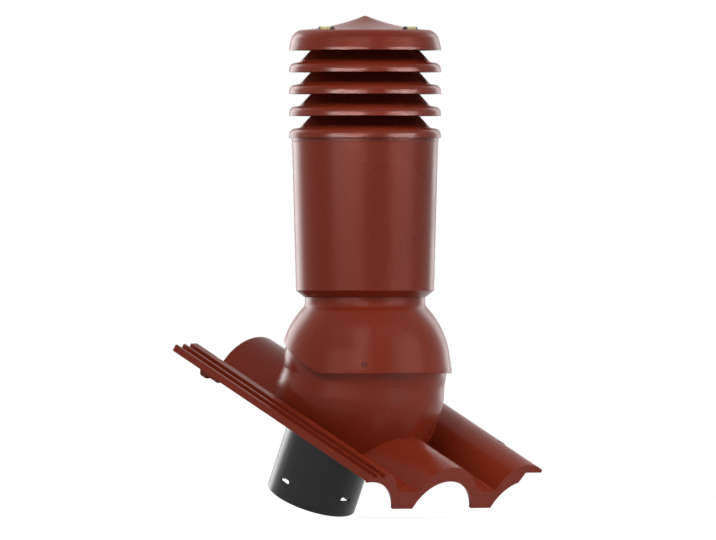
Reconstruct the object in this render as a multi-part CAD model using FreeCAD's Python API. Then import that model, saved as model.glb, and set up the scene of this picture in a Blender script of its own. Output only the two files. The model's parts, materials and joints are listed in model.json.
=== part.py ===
import FreeCAD, Part
import math
import os

from FreeCAD import Rotation, Vector

# Roof tile vent: a double-roll plastic roof tile with a dome moulded into it,
# an insulated flue that swivels on the dome to stand plumb, a louvred cap and
# a duct spigot under the roof. Millimetres, Z up, X across the roof, and Y up
# the slope. The origin is the middle of the bearing on the roof batten.

# Roof and tile
ROOF_PITCH = 25.0
TILE_LENGTH = 420.0
TILE_LEFT = 159.6
TILE_RIGHT = 170.0
TILE_WALL = 3.0
ROLL_PITCH = 150.0
ROLL_RADIUS = 61.0
ROLL_RISE = 36.9
COVER_OFFSET = -6.0
COVER_RADIUS = 52.5
COVER_RISE = 40.0
TROUGH_FILLET = 4.0
TROUGH_MIDDLE = 75.0

# Side lock: ribs of the water channel on the left, hooks of the cover on the right
CHANNEL_FLOOR = 21.5
CHANNEL_EDGE = 16.6
RIB_TIPS = (25.6, 26.5, 27.3)
RIB_CENTRES = (-155.8, -141.0, -127.0)
RIB_TOP_WIDTH = 3.6
RIB_FOOT_WIDTH = 5.4
HOOK_CENTRES = (152.0, 166.5)
HOOK_WIDTH = 4.4
HOOK_BOTTOM = 28.0
REBATE_DEPTH = 0.8
REBATE_START = 151.0
REBATE_LENGTH = 79.0

# Eave apron with its arches and feet
APRON_WALL = 4.0
APRON_RIGHT = 140.5
APRON_RIGHT_FOOT = 133.0
FOOT_DEPTH = 24.9
ARCH_RADIUS = 59.0
ARCH_RISE = 15.8
COVER_STEP = 28.0

# Batten hooks at the head of the tile, with a screw hole through each pad
BATTEN_FACE = 384.0
BATTEN_LEVEL = -5.0
PAD_LENGTH = 23.0
NIB_INNER = 106.0
NIB_WIDTH = 14.0
NIB_DEPTH = 4.0
NIB_THICKNESS = 12.0
BATTEN_SCREW_RADIUS = 2.5
BATTEN_SCREW_HEAD_RADIUS = 5.5
BATTEN_SCREW_SEAT = 15.0

# Swivel dome: its centre in the tile's own frame, walls and clearances
DOME_V = 217.0
DOME_W = 88.0
DOME_RADIUS = 112.0
DOME_WALL = 3.0
SWIVEL_GAP = 0.3
TILT_UPHILL = 15.0
TILT_DOWNHILL = 10.0
TILT_MARGIN = 1.5
SWEEP_MARGIN = 2.0
LEDGE_SLOPE = 1.6
SKIRT_V = 211.0
SKIRT_RADIUS = 114.3
SKIRT_WAIST = -36.0
SKIRT_BARREL = 210.0

# Bell that slides over the dome
BELL_RADIUS = 116.8
BELL_LIP_RADIUS = 118.8
BELL_LIP_Z = -10.0
BELL_LIP_WALL = 3.9
BELL_FLARE_TOP = 10.6
BELL_FLARE_FOOT = -5.0
BELL_SHOULDER_Z = 75.05
BELL_COLLAR_STEP = 1.5
BELL_COLLAR_Z = 83.6
NECK_SPACE = 17.1
NECK_WALL = 3.0
NECK_TOP = 94.5
CUTOUT_START = -24.0
CUTOUT_ANGLE = 22.0
CUTOUT_ROUNDING = 30.0

# Screws that lock the bell at its angle: azimuth and elevation from the centre
LOCK_SCREWS = ((225.0, 1.0), (315.0, 1.0), (90.0, 31.0))
LOCK_HEAD_RADIUS = 3.6
LOCK_HEAD_DEPTH = 1.4
LOCK_DIMPLE = 0.9
LOCK_SHANK_RADIUS = 1.9

# Duct with its ball joint, and the spigot below the roof
DUCT_RADIUS = 62.5
DUCT_WALL = 2.5
DUCT_BOTTOM = 86.0
DUCT_RISE = 5.5
SLEEVE_WALL = 2.5
SLEEVE_TOP = 104.0
BALL_WALL = 2.5
BALL_LAP = 3.0
SEAL_BAND = 3.0
SEAL_DEPTH = 1.2
CUP_WALL = 3.0
SPIGOT_V = 236.0
SPIGOT_WALL = 3.0
SPIGOT_END = -120.0
SPIGOT_SHOULDER = 2.0
SPIGOT_SHOULDER_DROP = 2.0
SLOT_LENGTH = 18.0
SLOT_HEIGHT = 6.0
SLOT_FROM_END = 26.0
LUG_DOWNHILL = 119.0
LUG_UPHILL = 303.0
LUG_WIDTH = 22.0
LUG_THICKNESS = 3.0
LUG_BOSS_HEIGHT = 6.0
LUG_BOSS_RADIUS = 6.0
LUG_SCREW_RADIUS = 1.9
LUG_HEAD_RADIUS = 4.0
LUG_HEAD_HEIGHT = 2.5
FIT = 0.2

# Shroud, its seat on the bell's neck and its filling
SHROUD_FOOT_STEP = 1.2
SHROUD_CHAMFER = 11.1
SHROUD_CHAMFER_HEIGHT = 8.9
SHROUD_FLARE = 5.5
SHROUD_LENGTH = 225.0
SHROUD_BAND_HEIGHT = 12.5
SHROUD_BAND = 0.6
SHROUD_WALL = 3.0
SOCKET_DEPTH = 10.5
NECK_RING_RISE = 3.5
FOAM_GAP = 0.3
FOAM_BOTTOM = 105.0
FOAM_HEADROOM = 6.0

# Louvre rings: every height counts from the ring's own lip, and every radius from the lip or the duct
LOUVRE_LAP = 7.0
LOUVRE_PITCH = 30.0
LOUVRE_COUNT = 3
LIP_OVERHANG = 4.2
LIP_STRAIGHT = 4.0
LIP_DRAFT = 0.3
BRIM_CORNER = 9.0
BRIM_WIDTH = 14.5
CONE_FOOT_HEIGHT = 13.7
CONE_TOP_SPACE = 7.3
CONE_TOP_HEIGHT = 34.8
LOUVRE_WALL = 2.4
POST_INSET = 0.8
POST_RADIUS = 4.0
POST_FOOT = 10.0
TIE_RADIUS = 2.0
TIE_HEAD_RADIUS = 4.0
TIE_HEAD_HEIGHT = 3.0
TIE_REACH = 23.5
COLLAR_SLEEVE_DEPTH = 19.5
COLLAR_SLEEVE_SPACE = 0.4
COLLAR_SLEEVE_WALL = 2.5
CLOSING_DEPTH = 13.5
CLOSING_WALL = 3.0
CLOSING_RIM = 8.0
CLOSING_RIM_WALL = 1.8

# Cap cover and its level vials: heights count from the cap's lip, and radii from the lip
CAP_APEX_RISE = 47.2
CAP_TIP_RADIUS = 1.5
CAP_MID_RADIUS = 45.0
CAP_MID_RISE = 33.8
CAP_EDGE = (15.9, 27.8)
CAP_SHOULDER = (7.7, 23.2)
CAP_SIDE = (3.0, 16.0)
CAP_WALL = 2.5
VIAL_INSET = 23.3
VIAL_AZIMUTHS = {"left": 185.0, "eave": 275.0}
VIAL_RADIUS = 3.6
VIAL_LENGTH = 18.0
VIAL_CAP_LENGTH = 3.0
VIAL_RISE = 28.5
CRADLE_WALL = 2.2

X_AXIS = Vector(1, 0, 0)
Y_AXIS = Vector(0, 1, 0)
Z_AXIS = Vector(0, 0, 1)
ORIGIN = Vector(0, 0, 0)
FAR = 400.0

BELL_INNER = DOME_RADIUS + SWIVEL_GAP
CUP_RADIUS = DOME_RADIUS - DOME_WALL - SWIVEL_GAP
CUP_INNER = CUP_RADIUS - CUP_WALL
BALL_RADIUS = CUP_INNER - SWIVEL_GAP
BALL_INNER = BALL_RADIUS - BALL_WALL
SLEEVE_INNER = DUCT_RADIUS + FIT
SLEEVE_RADIUS = SLEEVE_INNER + SLEEVE_WALL
LEAN = (TILT_UPHILL - TILT_DOWNHILL) / 2
HALF_SWING = (TILT_UPHILL + TILT_DOWNHILL) / 2
NECK_ANGLE = math.degrees(math.asin(SLEEVE_RADIUS / CUP_INNER))
OPENING_ANGLE = NECK_ANGLE + HALF_SWING + TILT_MARGIN
BALL_EDGE_ANGLE = OPENING_ANGLE + HALF_SWING + BALL_LAP
NECK_RADIUS = SLEEVE_RADIUS + NECK_SPACE
BELL_COLLAR_RADIUS = NECK_RADIUS + BELL_COLLAR_STEP
SLEEVE_BORE = NECK_RADIUS - NECK_WALL
SOCKET_RADIUS = SLEEVE_BORE - SWIVEL_GAP
SHROUD_FOOT_RADIUS = NECK_RADIUS + SHROUD_FOOT_STEP
SHROUD_RADIUS = SHROUD_FOOT_RADIUS + SHROUD_CHAMFER
SHROUD_TOP_RADIUS = SHROUD_RADIUS + SHROUD_FLARE
SHROUD_CHAMFER_Z = NECK_TOP + SHROUD_CHAMFER_HEIGHT
SHROUD_TOP = NECK_TOP + SHROUD_LENGTH
SHROUD_BAND_Z = SHROUD_TOP - SHROUD_BAND_HEIGHT
SHROUD_TAPER = SHROUD_FLARE / (SHROUD_BAND_Z - SHROUD_CHAMFER_Z)
LOUVRE_BASE = SHROUD_TOP - LOUVRE_LAP
DUCT_TOP = LOUVRE_BASE + DUCT_RISE
CLOSING_Z = SHROUD_TOP - CLOSING_DEPTH
FOAM_TOP = CLOSING_Z - FOAM_HEADROOM
LIP_RADIUS = SHROUD_TOP_RADIUS + LIP_OVERHANG
CONE_FOOT_RADIUS = LIP_RADIUS - BRIM_WIDTH
CONE_TOP_RADIUS = DUCT_RADIUS + CONE_TOP_SPACE
POST_CIRCLE = CONE_TOP_RADIUS - POST_INSET
CAP_LIP = LOUVRE_BASE + (LOUVRE_COUNT + 1) * LOUVRE_PITCH
CAP_APEX = CAP_LIP + CAP_APEX_RISE
TIE_END = CAP_LIP + TIE_REACH
LUG_LEVEL = -TILE_WALL - LUG_BOSS_HEIGHT - LUG_THICKNESS


def polar(radius, degrees):
    """Point in the vertical plane at an angle measured from the Z axis."""
    angle = math.radians(degrees)
    return Vector(radius * math.sin(angle), 0, radius * math.cos(angle))


def rz(radius, height):
    """Point of a turned outline: distance from the axis and height."""
    return Vector(radius, 0, height)


def path(*stations):
    """Open outline: a station is a point, or a pair (middle, end) for an arc."""
    edges = []
    here = stations[0]
    for station in stations[1:]:
        if isinstance(station, tuple):
            middle, end = station
            edges.append(Part.Arc(here, middle, end).toShape())
        else:
            end = station
            edges.append(Part.makeLine(here, end))
        here = end
    return edges


def face_of(*stations):
    """Flat face bounded by the outline, closed back to its first point."""
    return Part.Face(Part.Wire(path(*stations, stations[0])))


def turned(*stations):
    """Solid of revolution about the Z axis."""
    return face_of(*stations).revolve(ORIGIN, Z_AXIS, 360)


def tube(outer, inner, bottom, top):
    """Straight round tube on the Z axis."""
    return turned(rz(inner, bottom), rz(outer, bottom), rz(outer, top), rz(inner, top))


def rod(radius, start, direction, length):
    """Round bar from a point along a direction."""
    return Part.makeCylinder(radius, length, start, direction)


def ball(radius):
    """Ball about the swivel centre, its poles on the X axis."""
    sphere = Part.makeSphere(radius)
    sphere.rotate(ORIGIN, Y_AXIS, 90)
    return sphere


def around(degrees, radius, height):
    """Point at an azimuth on a circle about the Z axis."""
    angle = math.radians(degrees)
    return Vector(radius * math.cos(angle), radius * math.sin(angle), height)


def region_above(angle, offset):
    """Block whose bottom face has the given normal angle in the YZ plane."""
    block = Part.makeBox(2 * FAR, 2 * FAR, FAR, Vector(-FAR, -FAR, offset))
    block.rotate(ORIGIN, X_AXIS, angle - 90)
    return block


def union(first, *others):
    """Fused solid without leftover seams."""
    return first.multiFuse(list(others)).removeSplitter()


# Tile section: every outline is drawn in the XZ plane and runs up the slope

def roll_arc(centre, radius, rise, inset, start_angle, end_angle):
    """Arc over a roll between two angles from its crest, inset into the wall."""
    hub = Vector(centre, 0, rise - radius)
    size = radius - inset
    ends = [hub + polar(size, angle) for angle in (start_angle, end_angle)]
    middle = hub + polar(size, (start_angle + end_angle) / 2)
    return ends[0], middle, ends[1]


def fillet_geometry(radius, rise):
    """Half width from roll centre to fillet centre, and the angle of contact."""
    reach = radius + TROUGH_FILLET
    drop = TROUGH_FILLET - (rise - radius)
    half = math.sqrt(reach ** 2 - drop ** 2)
    return half, math.degrees(math.atan2(half, drop))


def trough_stations(first, last, inset):
    """Floor of a trough with the fillets at both of its sides."""
    left = trough_corner(*first, inset)
    right = trough_corner(*last, inset)
    return [(left[1], left[0]), right[0], (right[1], right[2])]


def trough_corner(centre, half, angle, side, inset):
    """Fillet from the trough floor to a roll: floor end, middle, roll end."""
    hub = Vector(centre + side * half, 0, TROUGH_FILLET)
    size = TROUGH_FILLET + inset
    floor_end = hub + polar(size, 180)
    middle = hub + polar(size, -side * (180 - angle / 2))
    roll_end = hub + polar(size, -side * (180 - angle))
    return floor_end, middle, roll_end


def skin(inset, left_height):
    """Wavy outline of the tile from the left flank to the right edge."""
    half, angle = fillet_geometry(ROLL_RADIUS, ROLL_RISE)
    cover_half, cover_angle = fillet_geometry(COVER_RADIUS, COVER_RISE)
    cover = ROLL_PITCH + COVER_OFFSET
    hub_height = ROLL_RISE - ROLL_RADIUS
    left_angle = math.degrees(math.acos((left_height - hub_height) / (ROLL_RADIUS - inset)))
    edge_angle = math.degrees(math.asin((TILE_RIGHT - cover) / (COVER_RADIUS - inset)))
    left = roll_arc(-ROLL_PITCH, ROLL_RADIUS, ROLL_RISE, inset, left_angle, angle)
    middle = roll_arc(0, ROLL_RADIUS, ROLL_RISE, inset, -angle, angle)
    right = roll_arc(cover, COVER_RADIUS, COVER_RISE, inset, -cover_angle, edge_angle)
    stations = [left[0], (left[1], left[2])]
    stations += trough_stations((-ROLL_PITCH, half, angle, 1), (0, half, angle, -1), inset)
    stations.append((middle[1], middle[2]))
    stations += trough_stations((0, half, angle, 1), (cover, cover_half, cover_angle, -1), inset)
    stations.append((right[1], right[2]))
    return stations


def backwards(stations):
    """The same outline walked from its end to its start."""
    points = [s[1] if isinstance(s, tuple) else s for s in stations]
    turned_round = [points[-1]]
    for index in range(len(stations) - 1, 0, -1):
        before = points[index - 1]
        station = stations[index]
        turned_round.append((station[0], before) if isinstance(station, tuple) else before)
    return turned_round


def channel_outline():
    """Top of the water channel: outer wall and ribs, up to the left flank."""
    points = [rz(-TILE_LEFT, CHANNEL_EDGE)]
    for index, (centre, tip) in enumerate(zip(RIB_CENTRES, RIB_TIPS)):
        if index > 0:
            points.append(rz(centre - RIB_FOOT_WIDTH / 2, CHANNEL_FLOOR))
        points.append(rz(centre - RIB_TOP_WIDTH / 2, tip))
        if index < len(RIB_CENTRES) - 1:
            points.append(rz(centre + RIB_TOP_WIDTH / 2, tip))
            points.append(rz(centre + RIB_FOOT_WIDTH / 2, CHANNEL_FLOOR))
    return points


def tile_plate():
    """Tile as one wavy wall of even thickness, with the channel on its left."""
    underside = CHANNEL_FLOOR - TILE_WALL
    outer_wall = RIB_CENTRES[0] + RIB_TOP_WIDTH / 2 - TILE_WALL
    top = channel_outline() + skin(0, RIB_TIPS[-1])
    bottom = backwards(skin(TILE_WALL, underside))
    channel = [rz(outer_wall, underside), rz(outer_wall, CHANNEL_EDGE)]
    plate = face_of(*top, *bottom, *channel).extrude(Vector(0, TILE_LENGTH, 0))
    return plate.cut(cover_rebate())


def cover_rebate():
    """Shallow step along the outer part of the cover roll, near the eave."""
    cover = ROLL_PITCH + COVER_OFFSET
    start = math.degrees(math.asin((REBATE_START - cover) / COVER_RADIUS))
    end = math.degrees(math.asin((TILE_RIGHT + 1 - cover) / COVER_RADIUS))
    low = roll_arc(cover, COVER_RADIUS, COVER_RISE, REBATE_DEPTH, start, end)
    high = roll_arc(cover, COVER_RADIUS, COVER_RISE, -REBATE_DEPTH, start, end)
    face = face_of(low[0], (low[1], low[2]), high[2], (high[1], high[0]))
    return face.extrude(Vector(0, REBATE_LENGTH, 0))


def cover_hooks():
    """Two ribs below the cover roll that drop between the neighbour's ribs."""
    hooks = []
    for centre in HOOK_CENTRES:
        corner = Vector(centre - HOOK_WIDTH / 2, 0, HOOK_BOTTOM)
        hooks.append(Part.makeBox(HOOK_WIDTH, TILE_LENGTH, COVER_RISE, corner))
    cover = ROLL_PITCH + COVER_OFFSET
    roof = rod(COVER_RADIUS - TILE_WALL / 2, Vector(cover, 0, COVER_RISE - COVER_RADIUS), Y_AXIS, TILE_LENGTH)
    return [hook.common(roof) for hook in hooks]


def eave_apron():
    """Front wall under the tile, cut into feet by one arch under each roll."""
    top = channel_outline() + skin(TILE_WALL / 2, RIB_TIPS[-1] - TILE_WALL / 2)
    face = face_of(*top, rz(TILE_RIGHT, -FOOT_DEPTH), rz(-TILE_LEFT, -FOOT_DEPTH))
    apron = face.extrude(Vector(0, APRON_WALL, 0))
    cuts = [apron_end()]
    for roll in (-1, 0, 1):
        hub = Vector(roll * ROLL_PITCH, 0, ARCH_RISE - ARCH_RADIUS)
        cuts.append(rod(ARCH_RADIUS, hub, Y_AXIS, APRON_WALL))
    return apron.cut(cuts)


def apron_end():
    """Room beside the apron, where the cover roll overhangs the next tile."""
    step = face_of(
        rz(APRON_RIGHT, COVER_STEP),
        rz(APRON_RIGHT_FOOT, ARCH_RISE - TILE_WALL / 2),
        rz(APRON_RIGHT_FOOT, -FAR),
        rz(FAR, -FAR),
        rz(FAR, COVER_STEP),
    )
    return step.extrude(Vector(0, APRON_WALL, 0))


def skin_region(inset, height):
    """Everything between the tile's inset surface and a level far from it."""
    stations = skin(inset, RIB_TIPS[-1] - inset)
    left = stations[0].x
    face = face_of(*stations, rz(TILE_RIGHT, height), rz(left, height))
    return face.extrude(Vector(0, TILE_LENGTH, 0))


def batten_hook(inner, width):
    """Pad that bears on the batten, with the nib that hooks behind it."""
    bottom = BATTEN_LEVEL - NIB_DEPTH
    back = BATTEN_FACE + NIB_THICKNESS
    outline = (
        Vector(inner, BATTEN_FACE - PAD_LENGTH, COVER_RISE),
        Vector(inner, BATTEN_FACE - PAD_LENGTH, BATTEN_LEVEL),
        Vector(inner, BATTEN_FACE, BATTEN_LEVEL),
        Vector(inner, BATTEN_FACE, bottom),
        Vector(inner, back, bottom),
        Vector(inner, back + NIB_DEPTH, BATTEN_LEVEL + NIB_DEPTH),
        Vector(inner, back + NIB_DEPTH, COVER_RISE),
    )
    return face_of(*outline).extrude(Vector(width, 0, 0))


def batten_hooks():
    """One hook under the flank at each side, trimmed to the tile's underside."""
    below = skin_region(TILE_WALL / 2, -FAR)
    left = batten_hook(-NIB_INNER, -NIB_WIDTH)
    right = batten_hook(NIB_INNER, NIB_WIDTH)
    return [left.common(below), right.common(below)]


def lug_places():
    """Four places below the trough floors where the spigot is screwed on."""
    return [(side * TROUGH_MIDDLE, v) for side in (-1, 1) for v in (LUG_DOWNHILL, LUG_UPHILL)]


def from_dome(shape):
    """Move a shape drawn about the swivel centre into the tile's frame."""
    shape.translate(Vector(0, DOME_V, DOME_W))
    return shape


def swept_by_bell(depth):
    """Room that the bell's lip needs over its whole swing, less a depth."""
    level = BELL_LIP_Z - SWEEP_MARGIN - depth
    foot = level - (FAR - DOME_RADIUS) * LEDGE_SLOPE
    lip = turned(rz(0, level), rz(DOME_RADIUS, level), rz(FAR, foot), rz(FAR, FAR), rz(0, FAR))
    lip.rotate(ORIGIN, X_AXIS, TILT_DOWNHILL - ROOF_PITCH)
    angle = math.radians(CUTOUT_ANGLE)
    height = BELL_LIP_Z * math.cos(angle) - CUTOUT_START * math.sin(angle)
    cutout = region_above(90 - ROOF_PITCH + CUTOUT_ANGLE - TILT_UPHILL, height - SWEEP_MARGIN - depth)
    return [lip, cutout]


def skirt(inset):
    """Barrel below the dome, round about a line square to the tile."""
    top = DOME_W
    bottom = -DOME_W - 2 * TILE_WALL - inset
    hub = SKIRT_RADIUS - SKIRT_BARREL
    size = SKIRT_BARREL - inset
    top_radius = hub + math.sqrt(size ** 2 - (top - SKIRT_WAIST) ** 2)
    bottom_radius = hub + math.sqrt(size ** 2 - (bottom - SKIRT_WAIST) ** 2)
    waist = rz(hub + size, SKIRT_WAIST)
    barrel = turned(rz(0, bottom), rz(bottom_radius, bottom), (waist, rz(top_radius, top)), rz(0, top))
    barrel.translate(Vector(0, SKIRT_V - DOME_V, 0))
    return barrel


def dome_form(inset):
    """Dome and skirt as one solid form, inset by a wall."""
    lower = skirt(inset).cut(swept_by_bell(inset))
    return union(ball(DOME_RADIUS - inset), lower)


def swing_opening():
    """Cone from the swivel centre that leaves the duct room to swing."""
    cone = Part.makeCone(0, FAR * math.tan(math.radians(OPENING_ANGLE)), FAR)
    cone.rotate(ORIGIN, X_AXIS, -(ROOF_PITCH + LEAN))
    return cone


def roof_tile():
    """Tile with dome, side lock, apron, batten hooks, screw bosses and screw holes."""
    dome = from_dome(dome_form(0)).common(skin_region(TILE_WALL / 2, FAR))
    hollow = from_dome(dome_form(DOME_WALL))
    opening = from_dome(swing_opening())
    bosses = []
    holes = [hollow, opening]
    for x, v in lug_places():
        foot = Vector(x, v, -TILE_WALL - LUG_BOSS_HEIGHT)
        bosses.append(rod(LUG_BOSS_RADIUS, foot, Z_AXIS, LUG_BOSS_HEIGHT + TILE_WALL / 2))
        holes.append(rod(LUG_SCREW_RADIUS, foot, Z_AXIS, LUG_BOSS_HEIGHT + TILE_WALL / 2))
    for side in (-1, 1):
        seat = Vector(side * (NIB_INNER + NIB_WIDTH / 2), BATTEN_FACE - PAD_LENGTH / 2, BATTEN_SCREW_SEAT)
        holes.append(rod(BATTEN_SCREW_RADIUS, seat, -Z_AXIS, FAR))
        holes.append(rod(BATTEN_SCREW_HEAD_RADIUS, seat, Z_AXIS, FAR))
    body = union(tile_plate(), eave_apron(), dome, *cover_hooks(), *batten_hooks(), *bosses)
    return body.cut(holes)


def spigot_slots():
    """Four slots round the spigot, on its cross and slope lines."""
    slots = []
    height = SPIGOT_END + SLOT_FROM_END
    span = 2 * DUCT_RADIUS + 2 * SPIGOT_WALL
    straight = SLOT_LENGTH - SLOT_HEIGHT
    for turn in (0, 90):
        bar = Part.makeBox(span, straight, SLOT_HEIGHT, Vector(-span / 2, -straight / 2, -SLOT_HEIGHT / 2))
        ends = [
            rod(SLOT_HEIGHT / 2, Vector(-span / 2, side * straight / 2, 0), X_AXIS, span)
            for side in (-1, 1)
        ]
        slot = bar.fuse(ends)
        slot.rotate(ORIGIN, Z_AXIS, turn)
        slot.translate(Vector(0, SPIGOT_V, height))
        slots.append(slot)
    return slots


def spigot_lug(x, v):
    """Flat arm from the spigot to a screw place, with a round end."""
    start = Vector(0, SPIGOT_V, LUG_LEVEL)
    end = Vector(x, v, LUG_LEVEL)
    reach = (end - start).Length
    arm = Part.makeBox(reach, LUG_WIDTH, LUG_THICKNESS, Vector(0, -LUG_WIDTH / 2, 0))
    tip = rod(LUG_WIDTH / 2, Vector(reach, 0, 0), Z_AXIS, LUG_THICKNESS)
    lug = arm.fuse(tip)
    lug.rotate(ORIGIN, Z_AXIS, math.degrees(math.atan2(v - SPIGOT_V, x)))
    lug.translate(start)
    return lug


def duct_spigot():
    """Ball cup inside the dome with the straight spigot pipe and its lugs."""
    pipe_top = DOME_W - CUP_RADIUS / 2
    length = pipe_top - SPIGOT_END
    foot = Vector(0, SPIGOT_V, SPIGOT_END)
    stop = Vector(0, SPIGOT_V, LUG_LEVEL - SPIGOT_SHOULDER_DROP)
    shoulder = rod(DUCT_RADIUS + SPIGOT_SHOULDER, stop, Z_AXIS, pipe_top - stop.z)
    lugs = [spigot_lug(x, v) for x, v in lug_places()]
    solid = union(from_dome(ball(CUP_RADIUS)), rod(DUCT_RADIUS, foot, Z_AXIS, length), shoulder, *lugs)
    holes = [from_dome(ball(CUP_INNER)), rod(DUCT_RADIUS - SPIGOT_WALL, foot, Z_AXIS, length)]
    holes += [from_dome(swing_opening())] + spigot_slots()
    for x, v in lug_places():
        holes.append(rod(LUG_SCREW_RADIUS + FIT, Vector(x, v, LUG_LEVEL), Z_AXIS, LUG_THICKNESS))
    return solid.cut(holes)


def spigot_screws():
    """Four pan-head screws that hold the lugs to the tile's bosses."""
    screws = []
    for x, v in lug_places():
        head = rod(LUG_HEAD_RADIUS, Vector(x, v, LUG_LEVEL - LUG_HEAD_HEIGHT), Z_AXIS, LUG_HEAD_HEIGHT)
        shank = rod(LUG_SCREW_RADIUS, Vector(x, v, LUG_LEVEL), Z_AXIS, LUG_THICKNESS + LUG_BOSS_HEIGHT)
        screws.append(head.fuse(shank))
    return Part.makeCompound(screws)


# Flue: everything below is drawn plumb about the swivel centre

def sphere_arc(radius, start_angle, end_angle):
    """Middle and end of an arc on a sphere, by angles from the Z axis."""
    return polar(radius, (start_angle + end_angle) / 2), polar(radius, end_angle)


def angle_at_radius(sphere, radius):
    """Angle from the Z axis at which a sphere has the given distance from it."""
    return math.degrees(math.asin(radius / sphere))


def angle_at_height(sphere, height):
    """Angle from the Z axis at which a sphere has the given height."""
    return math.degrees(math.acos(height / sphere))


def bell_cutout():
    """Region below the lip's uphill cut, with a rounded corner at its start."""
    angle = math.radians(CUTOUT_ANGLE)
    tangent = CUTOUT_ROUNDING * math.tan(angle / 2)
    start = Vector(-FAR, CUTOUT_START - tangent, BELL_LIP_Z)
    hub = start + Vector(0, 0, CUTOUT_ROUNDING)
    middle = hub + Vector(0, math.sin(angle / 2), -math.cos(angle / 2)) * CUTOUT_ROUNDING
    end = hub + Vector(0, math.sin(angle), -math.cos(angle)) * CUTOUT_ROUNDING
    far = end + Vector(0, math.cos(angle), math.sin(angle)) * FAR
    face = face_of(start, (middle, end), far, Vector(-FAR, far.y, -FAR), Vector(-FAR, start.y, -FAR))
    return face.extrude(Vector(2 * FAR, 0, 0))


def screw_direction(azimuth, elevation):
    """Direction out of the swivel centre."""
    flat = math.cos(math.radians(elevation))
    return around(azimuth, flat, math.sin(math.radians(elevation)))


def swivel_bell():
    """Bell over the dome: sphere, flared lip, shoulder and neck."""
    foot_angle = angle_at_height(BELL_RADIUS, BELL_FLARE_TOP)
    shoulder_angle = angle_at_height(BELL_RADIUS, BELL_SHOULDER_Z)
    inner_top = angle_at_radius(BELL_INNER, SLEEVE_BORE)
    inner_foot = angle_at_height(BELL_INNER, -BELL_FLARE_FOOT)
    lip_inner = BELL_LIP_RADIUS - BELL_LIP_WALL
    bell = turned(
        rz(BELL_LIP_RADIUS, BELL_LIP_Z),
        rz(BELL_LIP_RADIUS, BELL_FLARE_FOOT),
        polar(BELL_RADIUS, foot_angle),
        sphere_arc(BELL_RADIUS, foot_angle, shoulder_angle),
        rz(BELL_COLLAR_RADIUS, BELL_COLLAR_Z),
        rz(NECK_RADIUS, BELL_COLLAR_Z + BELL_COLLAR_RADIUS - NECK_RADIUS),
        rz(NECK_RADIUS, NECK_TOP),
        rz(SLEEVE_BORE, NECK_TOP),
        polar(BELL_INNER, inner_top),
        sphere_arc(BELL_INNER, inner_top, inner_foot),
        rz(lip_inner, BELL_FLARE_FOOT),
        rz(lip_inner, BELL_LIP_Z),
    )
    holes = [bell_cutout()]
    seat = BELL_RADIUS - LOCK_DIMPLE - LOCK_HEAD_DEPTH
    for azimuth, elevation in LOCK_SCREWS:
        out = screw_direction(azimuth, elevation)
        holes.append(rod(LOCK_SHANK_RADIUS + FIT, out * DOME_RADIUS, out, BELL_RADIUS - DOME_RADIUS))
        holes.append(rod(LOCK_HEAD_RADIUS + FIT, out * seat, out, BELL_RADIUS - DOME_RADIUS))
    return bell.cut(holes)


def bell_lock_screws():
    """Flush screws that bite into the dome and keep the bell at its angle."""
    screws = []
    seat = BELL_RADIUS - LOCK_DIMPLE - LOCK_HEAD_DEPTH
    for azimuth, elevation in LOCK_SCREWS:
        out = screw_direction(azimuth, elevation)
        shank = rod(LOCK_SHANK_RADIUS, out * BELL_INNER, out, seat - BELL_INNER)
        head = rod(LOCK_HEAD_RADIUS, out * seat, out, LOCK_HEAD_DEPTH)
        screws.append(head.fuse(shank))
    return Part.makeCompound(screws)


def duct_ball():
    """Ball skirt of the duct: slides in the spigot's cup, with a sleeve on top."""
    outer_top = angle_at_radius(BALL_RADIUS, SLEEVE_RADIUS)
    inner_top = angle_at_radius(BALL_INNER, SLEEVE_INNER)
    skirt_solid = turned(
        rz(SLEEVE_INNER, SLEEVE_TOP),
        rz(SLEEVE_RADIUS, SLEEVE_TOP),
        polar(BALL_RADIUS, outer_top),
        sphere_arc(BALL_RADIUS, outer_top, BALL_EDGE_ANGLE),
        polar(BALL_INNER, BALL_EDGE_ANGLE),
        sphere_arc(BALL_INNER, BALL_EDGE_ANGLE, inner_top),
    )
    return skirt_solid.cut(ball_seal())


def ball_seal():
    """Rubber band in a groove near the ball skirt's edge."""
    low = BALL_EDGE_ANGLE - SEAL_BAND
    high = low - SEAL_BAND
    groove = BALL_RADIUS - SEAL_DEPTH
    return turned(
        polar(BALL_RADIUS, high),
        sphere_arc(BALL_RADIUS, high, low),
        polar(groove, low),
        sphere_arc(groove, low, high),
    )


def inner_duct():
    """Straight duct from the ball joint to the louvres."""
    return tube(DUCT_RADIUS, DUCT_RADIUS - DUCT_WALL, DUCT_BOTTOM, DUCT_TOP)


def neck_ring():
    """Ring that centres the duct in the neck, hollowed over the dome."""
    inner = SLEEVE_RADIUS + FIT
    outer = SOCKET_RADIUS - SHROUD_WALL - FIT
    ring = tube(outer, inner, NECK_TOP - SOCKET_DEPTH, NECK_TOP + NECK_RING_RISE)
    return ring.cut(ball(BELL_INNER + SWIVEL_GAP))


def shroud_inner_radius(height):
    """Inside of the shroud's tapered wall at a height."""
    return SHROUD_RADIUS - SHROUD_WALL + SHROUD_TAPER * (height - SHROUD_CHAMFER_Z)


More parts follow.
